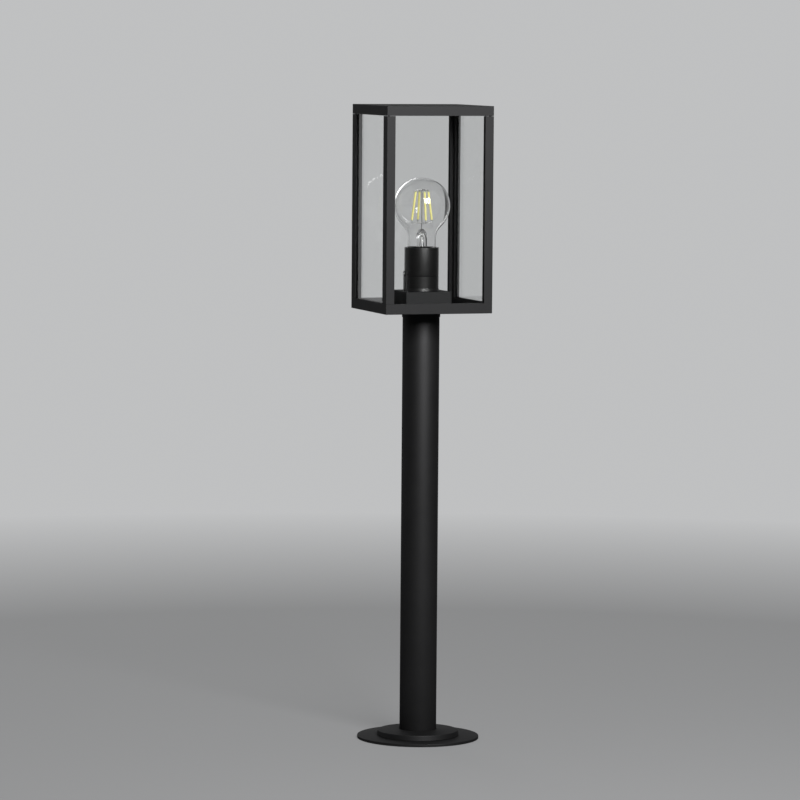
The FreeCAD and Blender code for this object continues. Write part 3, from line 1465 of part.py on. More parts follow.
def build_bulb():
    """The bulb and what is inside it."""
    make_bulb_tip()
    make_bulb_insulator()
    make_bulb_cap()
    make_bulb_glass()
    make_bulb_stem()
    make_led_filaments()
    make_filament_wires()


build_foot_and_column()
build_lantern()
build_electrics()
build_bulb()
doc.recompute()
check_objects()
os.makedirs("parts", exist_ok=True)
for piece in pieces:
    piece.Shape.exportStep(f"parts/{piece.Label}.step")
    print(f"{piece.Label}: {len(piece.Shape.Solids)} solid(s), {piece.Shape.Volume:.1f} mm3")
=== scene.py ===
"""A lantern lamp on a slim post: its finishes, its finer pieces, and the studio it stands in.

Sizes are in millimetres unless a name says otherwise. +Z is up, and the lantern's front faces -Y.
"""

import json
import logging
import math
from dataclasses import dataclass, field, fields
from enum import Enum

import bmesh
import bpy
from mathutils import Matrix, Vector


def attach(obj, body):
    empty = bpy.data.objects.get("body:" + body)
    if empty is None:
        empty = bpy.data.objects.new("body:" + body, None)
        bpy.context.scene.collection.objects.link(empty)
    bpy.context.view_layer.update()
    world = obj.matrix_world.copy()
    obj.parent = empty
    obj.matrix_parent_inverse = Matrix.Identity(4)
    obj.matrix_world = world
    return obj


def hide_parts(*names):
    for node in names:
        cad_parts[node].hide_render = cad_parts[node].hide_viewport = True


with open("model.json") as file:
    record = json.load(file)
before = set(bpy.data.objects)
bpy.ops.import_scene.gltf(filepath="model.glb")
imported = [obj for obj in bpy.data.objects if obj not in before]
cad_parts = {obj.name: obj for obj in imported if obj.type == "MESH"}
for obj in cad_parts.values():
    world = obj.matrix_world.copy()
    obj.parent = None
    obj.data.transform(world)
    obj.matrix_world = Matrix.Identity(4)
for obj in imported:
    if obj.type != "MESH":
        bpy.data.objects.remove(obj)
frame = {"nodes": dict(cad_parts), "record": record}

MM = 0.001
LOG = logging.getLogger("lantern_lamp")
Colour = tuple[float, float, float]
Shade = tuple[float, float, float, float]
Place = tuple[float, float, float]
Span = tuple[float, float]
Profile = tuple[Span, ...]
Outline = list[Span]


# ---- Nodes --------------------------------------------------------------------------------------


class NodeWeb:
    """Adds nodes to one tree and joins them as they are made."""

    def __init__(self, tree: bpy.types.NodeTree) -> None:
        """Start with an empty tree."""
        self.tree = tree
        tree.nodes.clear()

    def add(
        self, kind: str, values: dict[str | int, object] | None = None, **settings: object
    ) -> bpy.types.Node:
        """Add one node.

        Args:
            kind: The node's type.
            values: By input name or number, a plain value or the socket that feeds it.
            settings: The node's own properties.

        Returns:
            The new node.
        """
        node = self.tree.nodes.new(kind)
        for name, value in settings.items():
            setattr(node, name, value)
        for key, value in (values or {}).items():
            if isinstance(value, bpy.types.NodeSocket):
                self.tree.links.new(value, node.inputs[key])
            else:
                node.inputs[key].default_value = value
        return node

    def math(self, operation: str, first: object, second: object = 0.0) -> bpy.types.NodeSocket:
        """Combine two numbers and return the result's socket."""
        return self.add("ShaderNodeMath", {0: first, 1: second}, operation=operation).outputs[0]

    def ramp(self, value: bpy.types.NodeSocket, given: Span, wanted: Span) -> bpy.types.NodeSocket:
        """Map a number from one pair of limits to another, and hold it there.

        Args:
            value: The number's socket.
            given: The limits that it comes in.
            wanted: The limits that it is mapped to.

        Returns:
            The mapped number's socket.
        """
        names = ("From Min", "From Max", "To Min", "To Max")
        limits = dict(zip(names, (*given, *wanted)))
        return self.add("ShaderNodeMapRange", {"Value": value, **limits}).outputs[0]

    def noise(
        self, scale: float, detail: float = 3.0, stretch: Colour = (1, 1, 1)
    ) -> bpy.types.NodeSocket:
        """A cloud pattern fixed to the piece.

        Args:
            scale: How many blotches lie along a metre.
            detail: How many finer layers it has.
            stretch: How the pattern is squeezed along X, Y and Z.

        Returns:
            The socket of its strength, from 0 to 1.
        """
        place = self.add("ShaderNodeTexCoord").outputs["Object"]
        if stretch != (1, 1, 1):
            place = self.add("ShaderNodeMapping", {"Vector": place, "Scale": stretch}).outputs[0]
        values = {"Vector": place, "Scale": scale, "Detail": detail}
        return self.add("ShaderNodeTexNoise", values).outputs[0]

    def blend(self, share: object, first: object, second: object) -> bpy.types.NodeSocket:
        """Mix two colours and return the socket."""
        values = {0: share, 6: first, 7: second}
        return self.add("ShaderNodeMix", values, data_type="RGBA").outputs[2]


def opaque(colour: Colour) -> Shade:
    """A colour with full cover."""
    return (*colour, 1)


def grey(level: float) -> Shade:
    """A plain grey with full cover."""
    return (level, level, level, 1)


# ---- Finishes -----------------------------------------------------------------------------------

CLOUD_SPAN = (0.3, 0.7)
SMEAR_SPAN = (0.55, 0.8)


@dataclass(frozen=True)
class Finish:
    """A solid surface: its colour drifts a little, a fine grain breaks up its gloss, and a glow,
    where set, is painted light.
    """

    slot: str
    colour: Colour
    roughness: float
    metallic: float = 0.0
    specular: float = 0.5
    drift: float = 0.12
    drift_scale: float = 30.0
    haze: float = 0.05
    grain_scale: float = 1500.0
    grain_height: float = 0.00002
    stretch: Colour = (1, 1, 1)
    coat: float = 0.0
    glow: float = 0.0
    # glow: strength of a painted glow in the finish's own colour, on a part that is no lamp.
    edge: float = 1.0

    def bumps(
        self, web: NodeWeb, height: bpy.types.NodeSocket, strength: float
    ) -> bpy.types.NodeSocket:
        """Raise a pattern from the surface.

        Args:
            web: The web to build in.
            height: The pattern's socket.
            strength: How much of its slope is shown.

        Returns:
            The socket of the new normal.
        """
        values = {"Height": height, "Distance": self.grain_height, "Strength": strength}
        return web.add("ShaderNodeBump", values).outputs[0]

    def surface(self, web: NodeWeb) -> bpy.types.Node:
        """Build the finish's main shader.

        Args:
            web: The web to build in.

        Returns:
            The shader's node.
        """
        cloud = web.noise(self.drift_scale, 4.0, self.stretch)
        darker = opaque(tuple(part * (1 - self.drift) for part in self.colour))
        lighter = opaque(tuple(min(part * (1 + self.drift), 1) for part in self.colour))
        grain = web.noise(self.grain_scale, 2.0, self.stretch)
        gloss = (self.roughness - self.haze, self.roughness + self.haze)
        values = {
            "Base Color": web.blend(cloud, darker, lighter),
            "Roughness": web.ramp(cloud, CLOUD_SPAN, gloss),
            "Metallic": self.metallic,
            "Specular IOR Level": self.specular,
            "Coat Weight": self.coat,
            "Specular Tint": grey(self.edge),
            "Normal": self.bumps(web, grain, 0.6),
        }
        # Painted glow: the surface emits its own colour as light.
        if self.glow:
            values |= {"Emission Color": opaque(self.colour), "Emission Strength": self.glow}
        return web.add("ShaderNodeBsdfPrincipled", values)

    def material(self) -> bpy.types.Material:
        """Make the finish as a material.

        Returns:
            The material, which is made only once.
        """
        made = bpy.data.materials.get(f"finish_{self.slot}")
        if made:
            return made
        made = bpy.data.materials.new(f"finish_{self.slot}")
        made.use_nodes = True
        web = NodeWeb(made.node_tree)
        web.add("ShaderNodeOutputMaterial", {0: self.surface(web).outputs[0]})
        return made


@dataclass(frozen=True)
class Glass(Finish):
    """Clear glass with faint smears, which lets light from the lamps through."""

    index: float = 1.5
    shade: Colour = (0.97, 0.985, 0.98)

    def surface(self, web: NodeWeb) -> bpy.types.Node:
        """Build clear glass that lamps shine through.

        Args:
            web: The web to build in.

        Returns:
            The shader's node.
        """
        smears = web.noise(self.drift_scale, 5.0, self.stretch)
        gloss = (self.roughness, self.roughness + self.haze)
        values = {
            "Base Color": opaque(self.shade),
            "Roughness": web.ramp(smears, SMEAR_SPAN, gloss),
            "IOR": self.index,
            "Transmission Weight": 1.0,
            "Normal": self.bumps(web, web.noise(self.grain_scale, 1.0), 0.3),
        }
        clear = web.add("ShaderNodeBsdfPrincipled", values)
        open_way = web.add("ShaderNodeBsdfTransparent", {"Color": opaque(self.shade)})
        path = web.add("ShaderNodeLightPath").outputs
        either = web.math("MAXIMUM", path["Is Shadow Ray"], path["Is Diffuse Ray"])
        mixed = {0: either, 1: clear.outputs[0], 2: open_way.outputs[0]}
        return web.add("ShaderNodeMixShader", mixed)


@dataclass(frozen=True)
class FlatGlass(Finish):
    """Flat clear glass: it mirrors more the flatter it is looked along, and bends nothing."""

    shade: Colour = (0.995, 0.998, 0.997)
    head_on: float = 0.04

    def surface(self, web: NodeWeb) -> bpy.types.Node:
        """Build a mirror over a clear way, mixed by the slope of the look.

        Args:
            web: The web to build in.

        Returns:
            The shader's node.
        """
        smears = web.noise(self.drift_scale, 5.0)
        gloss = web.ramp(smears, SMEAR_SPAN, (self.roughness, self.roughness + self.haze))
        ripple = self.bumps(web, web.noise(self.grain_scale, 1.0), 0.2)
        mirror = web.add("ShaderNodeBsdfGlossy", {"Roughness": gloss, "Normal": ripple})
        clear = web.add("ShaderNodeBsdfTransparent", {"Color": opaque(self.shade)})
        slope = web.add("ShaderNodeLayerWeight", {"Blend": 0.5}).outputs["Facing"]
        steep = web.math("POWER", slope, 5.0)
        values = {0: steep, 1: 1 - self.head_on, 2: self.head_on}
        share = web.add("ShaderNodeMath", values, operation="MULTIPLY_ADD").outputs[0]
        mixed = {0: share, 1: clear.outputs[0], 2: mirror.outputs[0]}
        return web.add("ShaderNodeMixShader", mixed)


@dataclass(frozen=True)
class Finishes:
    """Every finish on the lamp."""

    black: Finish = Finish(
        "black_metal",
        (0.044, 0.044, 0.045),
        0.56,
        0.8,
        specular=0.35,
        drift=0.10,
        haze=0.03,
        edge=0.4,
    )
    turned: Finish = Finish(
        "turned_metal", (0.62, 0.62, 0.63), 0.35, 1.0, stretch=(1, 1, 12), grain_scale=600
    )
    screws: Finish = Finish(
        "plain_screws", (0.50, 0.50, 0.50), 0.32, 1.0, drift=0.15, drift_scale=300
    )
    black_screws: Finish = Finish(
        "black_screws",
        (0.035, 0.035, 0.036),
        0.42,
        0.8,
        specular=0.35,
        drift_scale=300,
        edge=0.4,
    )
    rubber: Finish = Finish("black_rubber", (0.02, 0.02, 0.02), 0.75, grain_scale=3000)
    pane: Finish = FlatGlass(
        "pane_glass", (0.93, 0.96, 0.95), 0.0, haze=0.02, drift_scale=9, grain_scale=14
    )
    bulb: Finish = Glass(
        "bulb_glass",
        (0.95, 0.96, 0.96),
        0.0,
        haze=0.01,
        drift_scale=20,
        grain_scale=60,
        grain_height=0.00003,
        shade=(1.0, 1.0, 1.0),
        index=1.47,
    )
    holder: Finish = Finish(
        "holder_plastic",
        (0.010, 0.010, 0.010),
        0.38,
        specular=0.6,
        drift_scale=80,
        grain_scale=2500,
    )
    ceramic: Finish = Finish("core_ceramic", (0.78, 0.76, 0.70), 0.25, drift=0.04, coat=0.4)
    block: Finish = Finish("block_plastic", (0.70, 0.70, 0.67), 0.4, drift=0.04)
    brass: Finish = Finish("contact_brass", (0.72, 0.55, 0.27), 0.28, 1.0, drift_scale=120)
    brown: Finish = Finish("lead_brown", (0.16, 0.07, 0.03), 0.4)
    blue: Finish = Finish("lead_blue", (0.04, 0.12, 0.40), 0.4)
    green: Finish = Finish("lead_green", (0.08, 0.32, 0.08), 0.4)
    nickel: Finish = Finish("nickel_cap", (0.68, 0.66, 0.62), 0.22, 1.0, drift_scale=150)
    solder: Finish = Finish("tip_metal", (0.60, 0.60, 0.61), 0.38, 1.0, drift_scale=400)
    vitrite: Finish = Finish(
        "cap_black", (0.012, 0.012, 0.013), 0.12, drift_scale=200, coat=0.5
    )
    # The rods' yellow coating, plus a faint painted glow that brightens them; nothing in the bulb
    # is a lamp.
    phosphor_painted_glow: Finish = Finish(
        "lit_yellow", (0.82, 0.76, 0.28), 0.55, drift=0.12, drift_scale=900, glow=0.3
    )

    def by_slot(self) -> dict[str, Finish]:
        """Every finish under its slot's name."""
        finishes = [getattr(self, item.name) for item in fields(self)]
        return {finish.slot: finish for finish in finishes}


FINISHES = Finishes()


# ---- Meshes -------------------------------------------------------------------------------------


class Facing(Enum):
    """Which way a screw's head faces."""

    UP = 1
    DOWN = -1


def linked(name: str, mesh: bpy.types.Mesh | bpy.types.Curve) -> bpy.types.Object:
    """Put a mesh or a curve in the scene.

    Args:
        name: The object's name.
        mesh: Its shape.

    Returns:
        The new object.
    """
    piece = bpy.data.objects.new(name, mesh)
    bpy.context.scene.collection.objects.link(piece)
    return piece


def thrown_away(piece: bpy.types.Object) -> None:
    """Remove an object and its mesh.

    Args:
        piece: The object.
    """
    mesh = piece.data
    bpy.data.objects.remove(piece)
    bpy.data.meshes.remove(mesh)


def smoothed(mesh: bpy.types.Mesh, crease: float) -> None:
    """Shade a mesh smooth, but for edges past a crease in degrees."""
    mesh.shade_smooth()
    mesh.set_sharp_from_angle(angle=math.radians(crease))


def finished_mesh(work: bmesh.types.BMesh, name: str, crease: float = 35.0) -> bpy.types.Object:
    """Turn a working mesh into a smooth-shaded object.

    Args:
        work: The working mesh, which is used up.
        name: The object's name.
        crease: The angle, in degrees, past which an edge stays sharp.

    Returns:
        The new object.
    """
    mesh = bpy.data.meshes.new(name)
    work.to_mesh(mesh)
    work.free()
    smoothed(mesh, crease)
    return linked(name, mesh)


def baked(piece: bpy.types.Object, crease: float | None = 35.0) -> bpy.types.Object:
    """Turn a piece's modifiers into plain mesh.

    Args:
        piece: An object with modifiers.
        crease: The angle, in degrees, past which an edge stays sharp, or None to keep the shading.

    Returns:
        The same object with its modifiers applied and removed.
    """
    seen = piece.evaluated_get(bpy.context.evaluated_depsgraph_get())
    mesh = bpy.data.meshes.new_from_object(seen)
    piece.modifiers.clear()
    old, piece.data = piece.data, mesh
    if old.users == 0:
        bpy.data.meshes.remove(old)
    if crease is not None:
        smoothed(mesh, crease)
    return piece


def lofted(
    name: str, rings: list[list[Place | Vector]], closed: bool = False, crease: float = 35.0
) -> bpy.types.Object:
    """A skin through rings of points.

    Args:
        name: The object's name.
        rings: Rings of one count, in metres; a ring of one point is a pole.
        closed: Whether the last ring joins the first.
        crease: The angle, in degrees, past which an edge stays sharp.

    Returns:
        The new object.
    """
    work = bmesh.new()
    loops = [[work.verts.new(spot) for spot in ring] for ring in rings]
    for low, high in zip(loops, loops[1:] + (loops[:1] if closed else [])):
        sides = max(len(low), len(high))
        if sides == 1:
            continue
        for side in range(sides):
            after = (side + 1) % sides
            corners = [low[side % len(low)], low[after % len(low)]]
            corners += [high[after % len(high)], high[side % len(high)]]
            work.faces.new(list(dict.fromkeys(corners)))
    bmesh.ops.recalc_face_normals(work, faces=work.faces)
    return finished_mesh(work, name, crease)


def arc(
    centre: tuple[float, float], radius: float, start: float, end: float, steps: int
) -> Outline:
    """Points along an arc.

    Args:
        centre: The arc's centre.
        radius: Its radius.
        start: The bearing of its first point, in degrees.
        end: The bearing of its last point, in degrees.
        steps: How many spans it has.

    Returns:
        steps + 1 points.
    """
    turns = [math.radians(start + (end - start) * step / steps) for step in range(steps + 1)]
    across, up = centre
    return [(across + radius * math.cos(turn), up + radius * math.sin(turn)) for turn in turns]


def shifted(profile: Profile, radius: float, level: float) -> Outline:
    """A profile's points, moved out and up."""
    return [(radius + wide, level + high) for wide, high in profile]


def eased(outline: Outline, radius: float, steps: int = 3, straight: float = 155.0) -> Outline:
    """Round the corners of a closed outline.

    Args:
        outline: Its corners.
        radius: The rounding, cut down where a side is short.
        steps: How many spans each rounding has.
        straight: The angle, in degrees, past which a corner is left as it is.

    Returns:
        The outline with each sharp corner replaced by a short curve.
    """
    points = [Vector(point) for point in outline]
    result: Outline = []
    for number, corner in enumerate(points):
        back, ahead = points[number - 1] - corner, points[(number + 1) % len(points)] - corner
        if math.degrees(back.angle(ahead)) > straight:
            result.append(tuple(corner))
            continue
        reach = min(radius, 0.4 * back.length, 0.4 * ahead.length)
        first, last = corner + back.normalized() * reach, corner + ahead.normalized() * reach
        for step in range(steps + 1):
            share = step / steps
            pulled = corner * 2 * share * (1 - share)
            result.append(tuple(first * (1 - share) ** 2 + pulled + last * share**2))
    return result


def turned(name: str, outline: Outline, steps: int = 96, closed: bool = True) -> bpy.types.Object:
    """A shape turned about the upright axis.

    Args:
        name: The object's name.
        outline: Pairs of radius and level; radius 0 is a pole.
        steps: How many sides go round.
        closed: Whether the outline's end joins its start.

    Returns:
        The new object.
    """
    spots = [math.tau * step / steps for step in range(steps)]
    rings = [
        [(radius * math.cos(turn) * MM, radius * math.sin(turn) * MM, level * MM) for turn in spots]
        if radius >= 1e-6
        else [(0, 0, level * MM)]
        for radius, level in outline
    ]
    return lofted(name, rings, closed)


def peg(name: str, radius: float, low: float, high: float, steps: int = 48) -> bpy.types.Object:
    """An upright cylinder between two levels.

    Args:
        name: The object's name.
        radius: Its radius.
        low: The level of its foot.
        high: The level of its top.
        steps: How many sides go round.

    Returns:
        The new object.
    """
    return turned(name, [(0, low), (radius, low), (radius, high), (0, high)], steps, False)


def softened(node: str, name: str, width: float, segments: int = 2) -> bpy.types.Object:
    """A copy of a CAD node with its sharp edges eased.

    Args:
        node: The CAD node.
        name: The copy's name.
        width: The width of the eased edge.
        segments: How many spans each eased edge has.

    Returns:
        The new object.
    """
    work = bmesh.new()
    work.from_mesh(frame["nodes"][node].data)
    bmesh.ops.remove_doubles(work, verts=work.verts, dist=2e-6)
    flat = math.radians(0.6)
    bmesh.ops.dissolve_limit(work, angle_limit=flat, verts=work.verts, edges=work.edges)
    piece = finished_mesh(work, name)
    bevel = piece.modifiers.new("eased_edges", "BEVEL")
    bevel.width = width * MM
    bevel.segments = segments
    bevel.limit_method = "ANGLE"
    bevel.angle_limit = math.radians(40)
    baked(piece)
    piece.modifiers.new("even_shading", "WEIGHTED_NORMAL").keep_sharp = True
    return baked(piece, None)


def drilled(piece: bpy.types.Object, cutters: list[bpy.types.Object]) -> bpy.types.Object:
    """Cut holes into a piece.

    Args:
        piece: The piece.
        cutters: The shapes to cut out, which are thrown away.

    Returns:
        The same piece.
    """
    for cutter in cutters:
        hole = piece.modifiers.new("hole", "BOOLEAN")
        hole.object = cutter
        hole.solver = "EXACT"
    baked(piece)
    for cutter in cutters:
        thrown_away(cutter)
    return piece


def moved(
    piece: bpy.types.Object, x: float, y: float, z: float = 0.0, turn: float = 0.0
) -> bpy.types.Object:
    """Turn a piece's mesh about the upright axis, and then move it.

    Args:
        piece: The piece.
        x: How far it goes along X.
        y: How far it goes along Y.
        z: How far it goes up.
        turn: How far it turns, in degrees.

    Returns:
        The same piece.
    """
    spin = Matrix.Rotation(math.radians(turn), 4, "Z")
    piece.data.transform(Matrix.Translation(Vector((x, y, z)) * MM) @ spin)
    return piece


def on_ring(circle: float, bearing: float) -> tuple[float, float]:
    """A spot on a circle of that diameter, at a bearing in degrees."""
    turn = math.radians(bearing)
    return circle / 2 * math.cos(turn), circle / 2 * math.sin(turn)


def tube_along(name: str, points: list[Place | Vector], radius: float) -> bpy.types.Object:
    """A round wire along points, with closed ends.

    Args:
        name: The object's name.
        points: The wire's points.
        radius: Its radius.

    Returns:
        The new object, as a mesh.
    """
    curve = bpy.data.curves.new(name, "CURVE")
    curve.dimensions = "3D"
    curve.bevel_depth = radius * MM
    curve.bevel_resolution = 3
    curve.use_fill_caps = True
    spline = curve.splines.new("NURBS")
    spline.points.add(len(points) - 1)
    for spot, point in zip(spline.points, points):
        spot.co = (*(Vector(point) * MM), 1)
    spline.order_u = 3
    spline.use_endpoint_u = True
    spline.resolution_u = 6
    source = linked(f"{name}_line", curve)
    seen = source.evaluated_get(bpy.context.evaluated_depsgraph_get())
    mesh = bpy.data.meshes.new_from_object(seen)
    bpy.data.objects.remove(source)
    bpy.data.curves.remove(curve)
    mesh.shade_smooth()
    return linked(name, mesh)


def merged(name: str, pieces: list[bpy.types.Object]) -> bpy.types.Object:
    """Join several objects' meshes.

    Args:
        name: The new object's name.
        pieces: The objects, which are thrown away.

    Returns:
        The new object.
    """
    work = bmesh.new()
    for piece in pieces:
        work.from_mesh(piece.data)
        thrown_away(piece)
    return finished_mesh(work, name)


# ---- Repeated pieces ----------------------------------------------------------------------------


class Spread(Enum):
    """How the copies of a repeated piece are set out."""

    RING = "ring"
    CORNERS = "corners"
    DIAGONAL = "diagonal"


INPUTS = {
    "Piece": "Object",
    "Finish": "Material",
    "Count": "Int",
    "Reach": "Float",
    "Level": "Float",
    "First": "Float",
}


@dataclass
class Copies:
    """Copies of one small piece on a ring, at a square's corners or at two ends of its diagonal."""

    spread: Spread
    reach: float
    level: float
    count: int = 4
    first: float = 0.0

    def points(self, web: NodeWeb, given: bpy.types.Node) -> bpy.types.NodeSocket:
        """Build the points that the copies stand on.

        Args:
            web: The web to build in.
            given: The node that holds the tree's inputs.

        Returns:
            The points' socket.
        """
        reach, count = given.outputs["Reach"], given.outputs["Count"]
        if self.spread is Spread.RING:
            index = web.add("GeometryNodeInputIndex").outputs[0]
            turn = web.math("MULTIPLY", index, web.math("DIVIDE", math.tau, count))
            along = web.math("MULTIPLY", web.math("COSINE", turn), reach)
            across = web.math("MULTIPLY", web.math("SINE", turn), reach)
            spot = web.add("ShaderNodeCombineXYZ", {0: along, 1: across}).outputs[0]
            return web.add("GeometryNodePoints", {"Count": count, "Position": spot}).outputs[0]
        double = web.math("MULTIPLY", reach, 2.0)
        if self.spread is Spread.CORNERS:
            sizes = {"Size X": double, "Size Y": double, "Vertices X": 2, "Vertices Y": 2}
            return web.add("GeometryNodeMeshGrid", sizes).outputs[0]
        back = web.math("MULTIPLY", reach, -1.0)
        start = web.add("ShaderNodeCombineXYZ", {0: back, 1: reach}).outputs[0]
        drop = web.math("MULTIPLY", reach, -2.0)
        step = web.add("ShaderNodeCombineXYZ", {0: double, 1: drop}).outputs[0]
        line = {"Count": count, "Start Location": start, "Offset": step}
        return web.add("GeometryNodeMeshLine", line).outputs[0]

    def tree(self) -> bpy.types.NodeTree:
        """Build the tree, with its sizes as named inputs.

        Returns:
            The tree, which ends in real copies with their material.
        """
        tree = bpy.data.node_groups.new(f"copies_{self.spread.value}", "GeometryNodeTree")
        made = "NodeSocketGeometry"
        tree.interface.new_socket("Geometry", in_out="OUTPUT", socket_type=made)
        for name, kind in INPUTS.items():
            tree.interface.new_socket(name, in_out="INPUT", socket_type=f"NodeSocket{kind}")
        web = NodeWeb(tree)
        given = web.add("NodeGroupInput")
        first = given.outputs["First"]
        lift = web.add("ShaderNodeCombineXYZ", {2: given.outputs["Level"]}).outputs[0]
        turn = web.add("ShaderNodeCombineXYZ", {2: first}).outputs[0]
        placed = {"Geometry": self.points(web, given), "Translation": lift, "Rotation": turn}
        spots = web.add("GeometryNodeTransform", placed).outputs[0]
        share = web.math("DIVIDE", math.tau, given.outputs["Count"])
        index = web.add("GeometryNodeInputIndex").outputs[0]
        own_turn = web.math("ADD", web.math("MULTIPLY", index, share), first)
        facing = web.add("ShaderNodeCombineXYZ", {2: own_turn}).outputs[0]
        piece = web.add("GeometryNodeObjectInfo", {"Object": given.outputs["Piece"]})
        values = {"Points": spots, "Instance": piece.outputs["Geometry"], "Rotation": facing}
        copies = web.add("GeometryNodeInstanceOnPoints", values).outputs[0]
        real = web.add("GeometryNodeRealizeInstances", {"Geometry": copies}).outputs[0]
        values = {"Geometry": real, "Material": given.outputs["Finish"]}
        dressed = web.add("GeometryNodeSetMaterial", values).outputs[0]
        web.add("NodeGroupOutput", {0: dressed})
        return tree

    def make(self, name: str, piece: bpy.types.Object, finish: Finish) -> bpy.types.Object:
        """Set out the copies as one plain mesh.

        Args:
            name: The new object's name.
            piece: The piece to copy, which is thrown away.
            finish: The copies' finish.

        Returns:
            The new object.
        """
        holder = linked(name, bpy.data.meshes.new(name))
        modifier = holder.modifiers.new("copies", "NODES")
        tree = modifier.node_group = self.tree()
        values = {
            "Piece": piece,
            "Finish": finish.material(),
            "Count": self.count,
            "Reach": self.reach * MM,
            "Level": self.level * MM,
            "First": math.radians(self.first),
        }
        for item in tree.interface.items_tree:
            if item.in_out == "INPUT":
                modifier[item.identifier] = values[item.name]
        baked(holder)
        thrown_away(piece)
        bpy.data.node_groups.remove(tree)
        return holder


@dataclass
class SocketScrew:
    """A screw with a six-sided socket, with a countersunk head or none."""

    size: float
    length: float
    headed: bool = True
    facing: Facing = Facing.UP
    sides: int = 48

    def levels(self) -> list[tuple[float, float, bool]]:
        """List the screw's rings, in shares of its size.

        Returns:
            Radius, depth and whether the ring is six-sided, from the socket's floor to the tip.
        """
        head = self.size if self.headed else self.size / 2
        socket = self.size * (0.34 if self.headed else 0.27)
        deep = self.size * 0.45
        neck = self.size / 2 if self.headed else 0.12 * self.size
        shank = self.size / 2
        return [
            (0, deep * 1.12, False),
            (socket * 0.97, deep, True),
            (socket, deep * 0.95, True),
            (socket, 0.04 * self.size, True),
            (socket * 1.07, 0, True),
            (head - 0.05 * self.size, 0, False),
            (head, 0.05 * self.size, False),
            (shank, neck, False),
            (shank, self.length - 0.1 * self.size, False),
            (shank * 0.8, self.length, False),
            (0, self.length, False),
        ]

    def ring(self, radius: float, depth: float, six_sided: bool) -> list[Vector]:
        """Points round the screw at one depth.

        Args:
            radius: The ring's radius, to its corners where it has six sides.
            depth: How far it lies from the head's face.
            six_sided: Whether it has six flat sides.

        Returns:
            The points, in metres.
        """
        level = depth * (-1 if self.facing is Facing.UP else 1)
        if radius == 0:
            return [Vector((0, 0, level * MM))]
        points = []
        for side in range(self.sides):
            turn = math.tau * side / self.sides
            reach = radius
            if six_sided:
                reach *= math.cos(math.pi / 6) / math.cos(turn % (math.pi / 3) - math.pi / 6)
            points.append(Vector((reach * math.cos(turn), reach * math.sin(turn), level)) * MM)
        return points

    def make(self) -> bpy.types.Object:
        """Build one screw with its head's face at the origin."""
        return lofted("screw", [self.ring(*level) for level in self.levels()], crease=30.0)


# ---- Sub-assemblies -----------------------------------------------------------------------------


@dataclass
class SubAssembly:
    """A group of pieces that one body carries, and a note on each piece made."""

    body: str = "lamp"
    notes: list[str] = field(default_factory=list)

    def hand_over(
        self, piece: bpy.types.Object, finish: Finish, *nodes: str, dress: bool = True
    ) -> None:
        """Finish a piece and join it to its body.

        Args:
            piece: The piece, in place.
            finish: Its finish.
            nodes: The CAD nodes that it stands for.
            dress: Whether it still needs its material.
        """
        if dress:
            piece.data.materials.clear()
            piece.data.materials.append(finish.material())
        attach(piece, self.body)
        if nodes:
            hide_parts(*nodes)
        shown = ", ".join(nodes) or "itself"
        self.notes.append(f"{piece.name} rides on {self.body} for {shown}")


@dataclass
class Foot(SubAssembly):
    """The plate on the floor and the screws up into the plug."""

    radius: float = 66.0
    thick: float = 3.0
    edge: float = 0.45
    bore: float = 5.0
    anchor_circle: float = 66.0
    anchor_radius: float = 3.25
    bearings: Place = (90, 210, 330)
    plug_circle: float = 25.0
    plug_screw: float = 4.0
    plug_screw_length: float = 13.8
    plug_screw_sunk: float = 0.2
    sink_play: float = 0.45
    shank_play: float = 0.15
    sink_depth: float = 2.2

    def plate(self) -> bpy.types.Object:
        """Build the plate, with its holes.

        Returns:
            The plate.
        """
        outline = [(self.bore, 0), (self.radius, 0)]
        outline += [(self.radius, self.thick), (self.bore, self.thick)]
        plate = turned("foot_plate", eased(outline, self.edge), 192)
        past = self.thick + 1
        wide, narrow = self.plug_screw + self.sink_play, self.plug_screw / 2 + self.shank_play
        sink_outline = [(0, -0.1), (wide, -0.1), (narrow, self.sink_depth)]
        sink_outline += [(narrow, past), (0, past)]
        cutters = []
        for bearing in self.bearings:
            hole = peg("anchor", self.anchor_radius, -1, past)
            cutters.append(moved(hole, *on_ring(self.anchor_circle, bearing)))
            sink = turned("sink", sink_outline, 48, False)
            cutters.append(moved(sink, *on_ring(self.plug_circle, bearing)))
        return drilled(plate, cutters)

    def build(self) -> None:
        """Build the plate and its screws."""
        self.hand_over(self.plate(), FINISHES.black, "base_plate")
        screw = SocketScrew(self.plug_screw, self.plug_screw_length, facing=Facing.DOWN).make()
        circle, first = self.plug_circle / 2, self.bearings[0]
        copies = Copies(Spread.RING, circle, self.plug_screw_sunk, len(self.bearings), first)
        screws = copies.make("foot_screws", screw, FINISHES.screws)
        self.hand_over(screws, FINISHES.screws, "socket_screws", dress=False)


